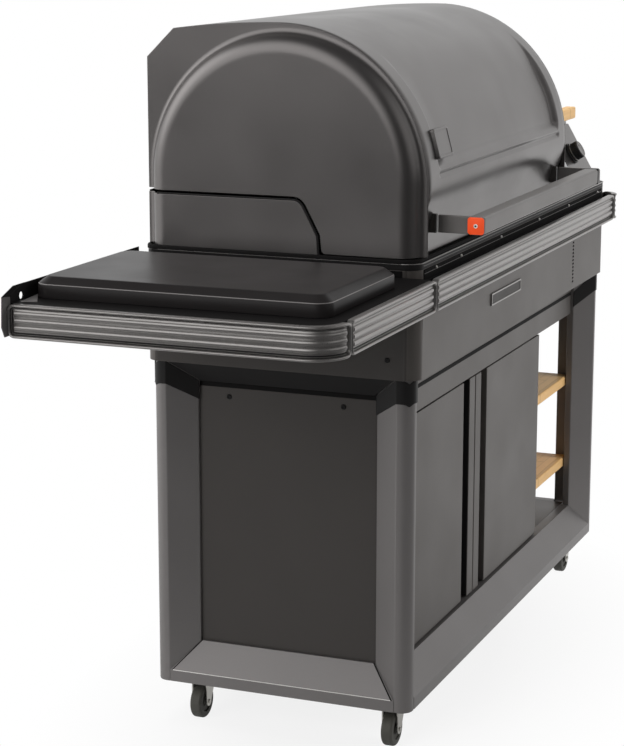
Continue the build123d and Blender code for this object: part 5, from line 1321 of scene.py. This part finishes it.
def rail_plate(name, route, foot, top, profile, slot):
    """Plate inside a rail's frame, rounded at its rim, its flat face following the rail's bend."""
    rings = [route.loop(inset, out, foot, top) for inset, out in profile]
    run = rings[0][1]
    bm = loft([ring for ring, count in rings], False, False)
    bm.verts.ensure_lookup_table()
    size = len(rings[0][0])
    first, third = route.corner_points, 3 * route.corner_points
    for start, flip in ((0, True), (len(bm.verts) - size, False)):
        face = bm.verts[start:start + size]
        upper, lower = list(reversed(face[first:first + run])), face[third + run:third + 2 * run]
        left, right = face[first + run:third + run], face[third + 2 * run:] + face[:first]
        patches = [left + right]
        if run:
            patches = [upper[:1] + left + lower[:1], lower[-1:] + right + upper[-1:]]
            patches += [[lower[i], lower[i + 1], upper[i + 1], upper[i]] for i in range(run - 1)]
        for patch in patches:
            bm.faces.new(list(reversed(patch)) if flip else patch)
    return settle(solid(name, bm, slot), 40)


class GRILL_OT_rails(bpy.types.Operator):
    """Ribbed accessory rails and the black channel behind the front one"""

    bl_idname = "grill.rails"
    bl_label = "Rails"

    def execute(self, context):
        size, shelf, front = sizes(), reach("side_shelf")[0], reach("front_rail")
        side, middle, right = reach("side_rail"), reach("shelf_front_rail"), reach("right_corner_rail")
        corner, end_corner = size.rail_bend, size.rail_end_bend
        back = front[1].y
        run, beyond = side[1].y - back - corner, side[1].x - shelf.x - corner
        self.rail("side_rail", RailRoute((shelf.x, side[1].y), (0, -1), run, corner, beyond))
        for node, box in (("shelf_front_rail", middle), ("front_rail", front)):
            self.rail(node, RailRoute((box[0].x, back), (1, 0), box[1].x - box[0].x))
        run = right[1].x - size.rail_out - right[0].x - end_corner
        beyond = right[1].y - back - end_corner
        self.rail("right_corner_rail", RailRoute((right[0].x, back), (1, 0), run, end_corner, beyond))
        hang(copied("rail_channel", "matt_black", 0.8), "black_trim", "rail_channel")
        return {"FINISHED"}

    def rail(self, node, route):
        """One rail: outer bead, thin inner bead, dark ground, and the ribbed field."""
        low, high = reach(node)
        foot, top = low.z, high.z
        out, field = sizes().rail_out, sizes().rail_field
        bead = [(0, 0.4), (0, out - 3.4), (0.5, out - 1.5), (1.5, out - 0.3), (2.6, out), (3.8, out - 0.4)]
        bead += [(4.8, out - 1.8), (5.2, out - 3.6), (5.2, 0.4)]
        thin = [(6.4, 0.6), (6.4, out - 5.0), (6.7, out - 4.4)]
        thin += [(7.5, out - 4.4), (7.8, out - 5.0), (7.8, 0.6)]
        plate = [(field, 1.0), (field, out - 5.8), (field + 0.4, out - 4.9), (field + 1.4, out - 4.5)]
        ground = [(1.0, 0.6), (1.0, 3.2)]
        pieces = [
            rail_frame("bead", route, foot, top, bead),
            rail_frame("inner_bead", route, foot, top, thin),
            rail_plate("field", route, foot, top + 2 * sizes().rail_lift, plate, "rail_silver"),
            rail_plate("ground", route, foot, top, ground, "black_trim"),
            ribs_along("ribs", route, foot, top),
        ]
        hang(joined(node + "_piece", *pieces), "rail_silver", node)


class GRILL_OT_side_shelf(bpy.types.Operator):
    """Side shelf and the black guard behind it"""

    bl_idname = "grill.side_shelf"
    bl_label = "Side Shelf"

    def execute(self, context):
        dressed("side_shelf", "shelf_grey", 0.8)
        dressed("shelf_rear_guard", "black_trim", 0.6)
        self.guard_end()
        return {"FINISHED"}

    def guard_end(self):
        """Plate closing the rail at the guard's left end, and the small gusset in front of it."""
        low, high = reach("side_shelf")
        left, face, top = low.x, high.y + 0.6, reach("shelf_rear_guard")[1].z
        upper = [(-26, -13), (-26, -18), (20, -18), (24, -9), (29, -5.5), (50, -4), (50, 0), (12, 0)]
        lower = [(-26, -13), (-29, -61), (-20, -79), (6, -79), (19, -18)]
        gusset = [(13, -11), (24, -36), (90, -1)]
        pieces = []
        for slot, outline, start in (("black_trim", upper, 0.2), ("frame_grey", lower, 0.0)):
            pieces.append(self.sheet(slot, [
                [Vector((left + x, face + y, top + z)) for x, z in outline] for y in (start, start + 1.8)
            ]))
        pieces.append(self.sheet("frame_grey", [
            [Vector((left + x, face + y, high.z + z)) for x, y in gusset] for z in (-0.4, 1.0)
        ]))
        hang(joined("guard_end", *pieces), "black_trim", body="cabinet")

    def sheet(self, slot, rings):
        """Flat piece between two like outlines."""
        return softened(solid("sheet", skinned(rings), slot), 0.3, 2, 30)


class GRILL_OT_cooktop(bpy.types.Operator):
    """Cooktop cover, and the glass and heating unit under it"""

    bl_idname = "grill.cooktop"
    bl_label = "Cooktop"

    def execute(self, context):
        size = sizes()
        low, high = reach("cooktop_cover")
        width, depth = high.x - low.x, high.y - low.y
        corner, bevel = size.cover_corner, size.cover_bevel
        rise = high.z - low.z
        middle = Matrix.Translation(((low.x + high.x) / 2, (low.y + high.y) / 2, low.z))
        shoulder = rise - 12.0
        profile = [(0, 0), (0, shoulder - 1.6), (0.5, shoulder - 0.4), (1.6, shoulder + 0.8)]
        profile += [(bevel - 1.6, rise - 1.3), (bevel - 0.2, rise - 0.4)]
        profile += [(bevel + 1.4, rise), (bevel + 6, rise)]
        levels = [(width - 2 * i, depth - 2 * i, max(corner - i * 0.6, 4), z) for i, z in profile]
        cover = solid("cooktop_cover_piece", stacked(levels, middle, cap_first=False, steps=8), "cover_black")
        settle(ease(thicken(cover, 2.0), 0.5, 2, 60), 50)
        # Painted highlight: a thin band along the shoulder takes the lighter frame grey
        edge = low.z + shoulder
        repaint(cover, "frame_grey", lambda spot, facing: edge - 0.5 < spot.z < edge + 0.9 and facing.z > 0.2)
        hang(cover, "black_trim", "cooktop_cover")
        dressed("induction_unit", "control_black", 1.0)
        dressed("cooktop_glass", "screen", 0.6)
        return {"FINISHED"}


# Hopper end


class GRILL_OT_hopper(bpy.types.Operator):
    """Hopper, its lid and grip, and the sloping controls in front of it"""

    bl_idname = "grill.hopper"
    bl_label = "Hopper"

    def execute(self, context):
        dressed("hopper_bin", "inner_steel", 0.6)
        dressed("hopper_lid", "lid_grey", 0.8)
        dressed("hopper_lid_grip", "bamboo", 3.0, 4)
        dressed("control_housing", "lid_grey", 1.5, 3)
        dressed("display_panel", "screen", 0.6)
        self.dial()
        return {"FINISHED"}

    def dial(self):
        """Black dial on the slope: stepped skirt, silver ring, ribbed knob and grey face with a pointer."""
        joints = frame["record"]["behaviour"]["joints"]
        pivot = next(joint for joint in joints if joint["child"] == "control_dial")
        axis = Vector(pivot["axis"])
        turned = axis.to_track_quat("Z", "Y").to_matrix().to_4x4()
        place = Matrix.Translation(Vector(pivot["pos_m"]) / MM) @ turned
        black, bright, grey = "control_black", "zinc", "frame_grey"
        profile = [(6, -8, black), (6, 1, black), (23.4, 1, black), (24, 1.6, black), (24, 3.6, black)]
        profile += [(23.4, 4.4, black), (21.6, 4.8, black), (21.6, 7.6, black), (21.9, 7.8, bright)]
        profile += [(21.9, 9.6, bright), (21.3, 9.9, bright), (19.2, 10.1, black), (18.7, 23.4, black)]
        profile += [(18.4, 24.8, black), (17.6, 25.9, black), (16.6, 26.2, grey)]
        profile += [(15.4, 25.6, grey), (3, 25.6, grey)]
        knob = lathe("knob", profile, place, 64)
        rib = solid("rib", stacked([(1.3, 1.3, 0.5, z) for z in (10.2, 23.0)], steps=1), black)
        turns = [2 * pi * step / sizes().dial_ribs for step in range(sizes().dial_ribs)]
        spots = [(place @ Vector((18.9 * cos(t), 18.9 * sin(t), 0)), axis) for t in turns]
        grips = scatter("grips", spots, rib, black)
        pointer = [(2.2, 11, 0.8, 25.2), (2.0, 10.8, 0.8, 26.4)]
        mark = solid("mark", stacked(pointer, place @ Matrix.Translation((0, 9, 0))), bright)
        hang(joined("control_dial_piece", knob, grips, settle(mark)), black, "control_dial")


class GRILL_OT_bay_shelves(bpy.types.Operator):
    """Bamboo shelves in the open bay"""

    bl_idname = "grill.bay_shelves"
    bl_label = "Bay Shelves"

    def execute(self, context):
        dressed("bamboo_shelves", "bamboo", 1.5, 3)
        return {"FINISHED"}


class GRILL_OT_cooking_gear(bpy.types.Operator):
    """Tub, drip tray, grate and upper rack inside the barrel"""

    bl_idname = "grill.cooking_gear"
    bl_label = "Cooking Gear"

    def execute(self, context):
        dress_all("tub_enamel", ("barrel_tub", "drip_tray"), 0.7)
        dressed("cooking_grate", "grate_iron", 0.7)
        dressed("upper_rack", "rack_chrome", 0.5)
        return {"FINISHED"}


class GRILL_OT_fire_and_feed(bpy.types.Operator):
    """Fire pot, auger, fan and grease keg under the deck"""

    bl_idname = "grill.fire_and_feed"
    bl_label = "Fire and Feed"

    def execute(self, context):
        dress_all("inner_steel", ("fire_pot", "auger_tube", "auger_screw", "auger_motor", "grease_keg"), 0.5)
        dress_all("fan_black", ("fan_housing", "fan_wheel"), 0.5)
        return {"FINISHED"}


# Screws


def screw_head(radius):
    """Round head with a hexagon socket, standing on its foot at the origin."""
    turns = [side * pi / 6 for side in range(12)]
    socket = [radius * 0.52 / cos(((t + pi / 6) % (pi / 3)) - pi / 6) * 0.87 for t in turns]
    rings = [([r] * len(turns), z) for r, z in ((radius, 0.0), (radius, 1.2), (radius * 0.8, 2.4))]
    rings += [(socket, 2.4), (socket, 0.6)]
    shape = [[Vector((r * cos(t), r * sin(t), z)) for r, t in zip(radii, turns)] for radii, z in rings]
    return solid("screw_head", loft(shape), "dark_socket")


def scatter_tree():
    """Geometry tree that sets a shape on every point, turned to the point's facing."""
    tree, given = repeat_tree(
        "set_on_points", ("Points", "Geometry"), ("Shape", "Object"), ("Finish", "Material")
    )
    facing = add(tree, "GeometryNodeInputNamedAttribute", {"Name": "facing"}, data_type="FLOAT_VECTOR")
    turn = add(tree, "FunctionNodeAlignRotationToVector", {"Vector": facing.outputs["Attribute"]}, axis="Z")
    shape = add(tree, "GeometryNodeObjectInfo", {"Object": given["Shape"]})
    points = add(tree, "GeometryNodeMeshToPoints", {"Mesh": given["Points"]})
    placed = add(tree, "GeometryNodeInstanceOnPoints", {
        "Points": points.outputs[0], "Instance": shape.outputs["Geometry"], "Rotation": turn.outputs[0],
    })
    return close_tree(tree, placed, given["Finish"])


def scatter(name, spots, shape, slot):
    """Mesh of a shape, used up here, set at every (place, facing) spot, given in millimetres."""
    mesh = bpy.data.meshes.new(name)
    mesh.from_pydata([Vector(place) * MM for place, facing in spots], [], [])
    facing = mesh.attributes.new("facing", "FLOAT_VECTOR", "POINT")
    for entry, (place, direction) in zip(facing.data, spots):
        entry.vector = direction
    tree = bpy.data.node_groups.get("set_on_points") or scatter_tree()
    grown = grow(shown(name, mesh), tree, {"Shape": shape, "Finish": finish(slot)}, 30)
    bpy.data.objects.remove(shape)
    return grown


class GRILL_OT_screws(bpy.types.Operator):
    """Screws of the cabinet's panels"""

    bl_idname = "grill.screws"
    bl_label = "Screws"

    def execute(self, context):
        panel, housing = reach("left_side_panel"), reach("lower_housing")
        back = reach("back_panel")
        left, right, rear = Vector((-1, 0, 0)), Vector((1, 0, 0)), Vector((0, 1, 0))
        panel_top, panel_rear, panel_front = panel[1].z - 17, panel[1].y - 59, panel[0].y + 66
        spots = [((panel[0].x, y, panel_top), left) for y in (panel_rear, panel_front)]
        housing_y, housing_z = housing[0].y + 55, housing[0].z + 35
        spots += [((corner.x, housing_y, housing_z), side) for corner, side in zip(housing, (left, right))]
        margin_x, margin_z, gaps = 40, 30, 5
        width = back[1].x - back[0].x - 2 * margin_x
        for z in (back[0].z + margin_z, back[1].z - margin_z):
            for step in range(gaps + 1):
                spots.append(((back[0].x + margin_x + width * step / gaps, back[1].y, z), rear))
        screws = scatter("cabinet_screws", spots, screw_head(sizes().screw_head), "dark_socket")
        hang(screws, "black_trim", body="cabinet")
        return {"FINISHED"}


# Stage

# Direction of the white backdrop behind the object
BACKDROP = (0.68, 0.72, 0.0)


class GRILL_OT_stage(bpy.types.Operator):
    """Pale floor, soft studio light and the camera"""

    bl_idname = "grill.stage"
    bl_label = "Stage"

    def execute(self, context):
        studio = context.scene.grill_studio
        self.floor()
        self.room(studio.room_glow)
        for name, place, aim, extent, power in (
            ("front_softbox", (1.2, -4.6, 2.9), (0.2, 0.0, 0.8), (3.4, 2.2), studio.key_power),
            ("overhead_softbox", (-0.4, 0.6, 4.2), (0.1, 0.1, 1.0), (2.6, 2.6), studio.top_power),
            ("left_softbox", (-4.5, 1.5, 2.2), (0.0, 0.0, 0.8), (2.6, 2.6), studio.side_power),
        ):
            self.softbox(name, place, aim, extent, power).visible_glossy = False
        camera = bpy.data.cameras.new("camera")
        camera.lens, camera.sensor_width, camera.clip_end = studio.camera_lens, 36.0, 300.0
        eye = shown("camera", camera)
        eye.location, eye.rotation_euler = studio.camera_place, studio.camera_turn
        context.scene.camera = eye
        context.scene.view_settings.view_transform = "Standard"
        return {"FINISHED"}

    def floor(self):
        """Wide pale disc under the wheels, fading to white away from the object."""
        bm = bmesh.new()
        bmesh.ops.create_circle(bm, cap_ends=True, segments=96, radius=80.0)
        floor = shown("floor", meshed("floor", bm))
        made = bpy.data.materials.new("floor_pale")
        made.use_nodes = True
        tree = made.node_tree
        matt = tree.nodes["Principled BSDF"]
        place = add(tree, "ShaderNodeTexCoord").outputs["Object"]
        tint = blend(tree, noise(tree, place, 30.0), (0.86, 0.86, 0.86, 1), (0.9, 0.9, 0.9, 1))
        tree.links.new(tint, matt.inputs["Base Color"])
        matt.inputs["Roughness"].default_value = 0.9
        matt.inputs["Specular IOR Level"].default_value = 0.1
        oval = reckon_vector(tree, "MULTIPLY", place, (0.8, 1.6, 0.0))
        far = spread(tree, reckon_vector(tree, "LENGTH", oval, output="Value"), 0.84, 1.0, 0.35, 0.9)
        camera, looked = rays(tree)
        behind = reckon_vector(tree, "DOT_PRODUCT", place, BACKDROP, "Value")
        backdrop = spread(tree, behind, 0.04, 1.0, -1.6, 1.0, "SMOOTHSTEP")
        glow = reckon(tree, "MAXIMUM", backdrop, camera)
        white = add(tree, "ShaderNodeEmission", {"Color": (1, 1, 1, 1), "Strength": glow})
        mix = add(tree, "ShaderNodeMixShader", {
            0: reckon(tree, "MULTIPLY", far, looked), 1: matt.outputs[0], 2: white.outputs[0],
        })
        tree.links.new(mix.outputs[0], tree.nodes["Material Output"].inputs["Surface"])
        floor.data.materials.append(made)

    def room(self, glow):
        """White room for the eye; reflections see the white backdrop behind and a dark studio in front."""
        world = bpy.data.worlds.new("room")
        bpy.context.scene.world = world
        world.use_nodes = True
        tree = world.node_tree
        camera, looked = rays(tree)
        way = add(tree, "ShaderNodeTexCoord").outputs["Generated"]
        backdrop = self.patch(tree, way, BACKDROP, -0.5, 0.3, 0.86)
        open_top = self.patch(tree, way, (0.0, 0.0, -1.0), -0.85, -0.5, 1.0)
        left_glow = self.patch(tree, way, (-0.82, 0.38, 0.42), 0.62, 0.97, 1.45)
        front_glow = self.patch(tree, way, (0.15, -0.92, 0.36), 0.75, 1.0, 0.5)
        rear_glow = self.patch(tree, way, (-0.3, 0.86, 0.4), 0.82, 0.98, 1.5)
        behind = reckon(tree, "ADD", reckon(tree, "MULTIPLY", backdrop, open_top), rear_glow)
        sides = reckon(tree, "MAXIMUM", left_glow, front_glow)
        bright = reckon(tree, "ADD", reckon(tree, "MAXIMUM", behind, sides), 0.03)
        mirrored_room = reckon(tree, "MAXIMUM", bright, camera)
        strength = add(tree, "ShaderNodeMix", {0: looked, 2: glow, 3: mirrored_room}).outputs[0]
        tree.links.new(strength, tree.nodes["Background"].inputs["Strength"])
        tree.nodes["Background"].inputs["Color"].default_value = (1.0, 1.0, 1.0, 1.0)

    def patch(self, tree, way, middle, edge, full, strength):
        """Brightness of a soft-edged part of the room around a direction."""
        towards = reckon_vector(tree, "DOT_PRODUCT", way, middle, "Value")
        return spread(tree, towards, 0.0, strength, edge, full, "SMOOTHSTEP")

    def softbox(self, name, place, aim, extent, power):
        """Rectangular lamp aimed at a point."""
        lamp = bpy.data.lights.new(name, "AREA")
        lamp.shape, lamp.size, lamp.size_y, lamp.energy = "RECTANGLE", *extent, power
        obj = shown(name, lamp)
        obj.location = place
        obj.rotation_euler = (Vector(aim) - Vector(place)).to_track_quat("-Z", "Y").to_euler()
        return obj


OPERATORS = (
    GRILL_OT_cabinet_frame,
    GRILL_OT_cabinet_panels,
    GRILL_OT_casters,
    GRILL_OT_housing,
    GRILL_OT_lid_skin,
    GRILL_OT_barrel_ends,
    GRILL_OT_lid_handle,
    GRILL_OT_lid_hinges,
    GRILL_OT_rails,
    GRILL_OT_side_shelf,
    GRILL_OT_cooktop,
    GRILL_OT_hopper,
    GRILL_OT_bay_shelves,
    GRILL_OT_cooking_gear,
    GRILL_OT_fire_and_feed,
    GRILL_OT_screws,
    GRILL_OT_stage,
)


class GRILL_PT_build(bpy.types.Panel):
    """Lists the barbecue's pieces, finishes and studio settings"""

    bl_label = "Barbecue"
    bl_idname = "GRILL_PT_build"
    bl_space_type = "VIEW_3D"
    bl_region_type = "UI"
    bl_category = "Barbecue"

    def draw(self, context):
        for operator in OPERATORS:
            self.layout.operator(operator.bl_idname)
        for settings in (context.scene.grill_sizes, context.scene.grill_finishes, context.scene.grill_studio):
            box = self.layout.box()
            for key in settings.__annotations__:
                box.prop(settings, key)


CLASSES = (GrillSizes, GrillFinishes, StudioSettings, *OPERATORS, GRILL_PT_build)


def register():
    """Registers the classes and the scene's settings."""
    for cls in CLASSES:
        bpy.utils.register_class(cls)
    bpy.types.Scene.grill_sizes = PointerProperty(type=GrillSizes)
    bpy.types.Scene.grill_finishes = PointerProperty(type=GrillFinishes)
    bpy.types.Scene.grill_studio = PointerProperty(type=StudioSettings)


def unregister():
    """Removes the settings and the classes."""
    del bpy.types.Scene.grill_sizes, bpy.types.Scene.grill_finishes, bpy.types.Scene.grill_studio
    for cls in reversed(CLASSES):
        bpy.utils.unregister_class(cls)


def main():
    """Builds every piece in order."""
    register()
    for operator in OPERATORS:
        family, name = operator.bl_idname.split(".")
        getattr(getattr(bpy.ops, family), name)()


if __name__ == "__main__":
    main()
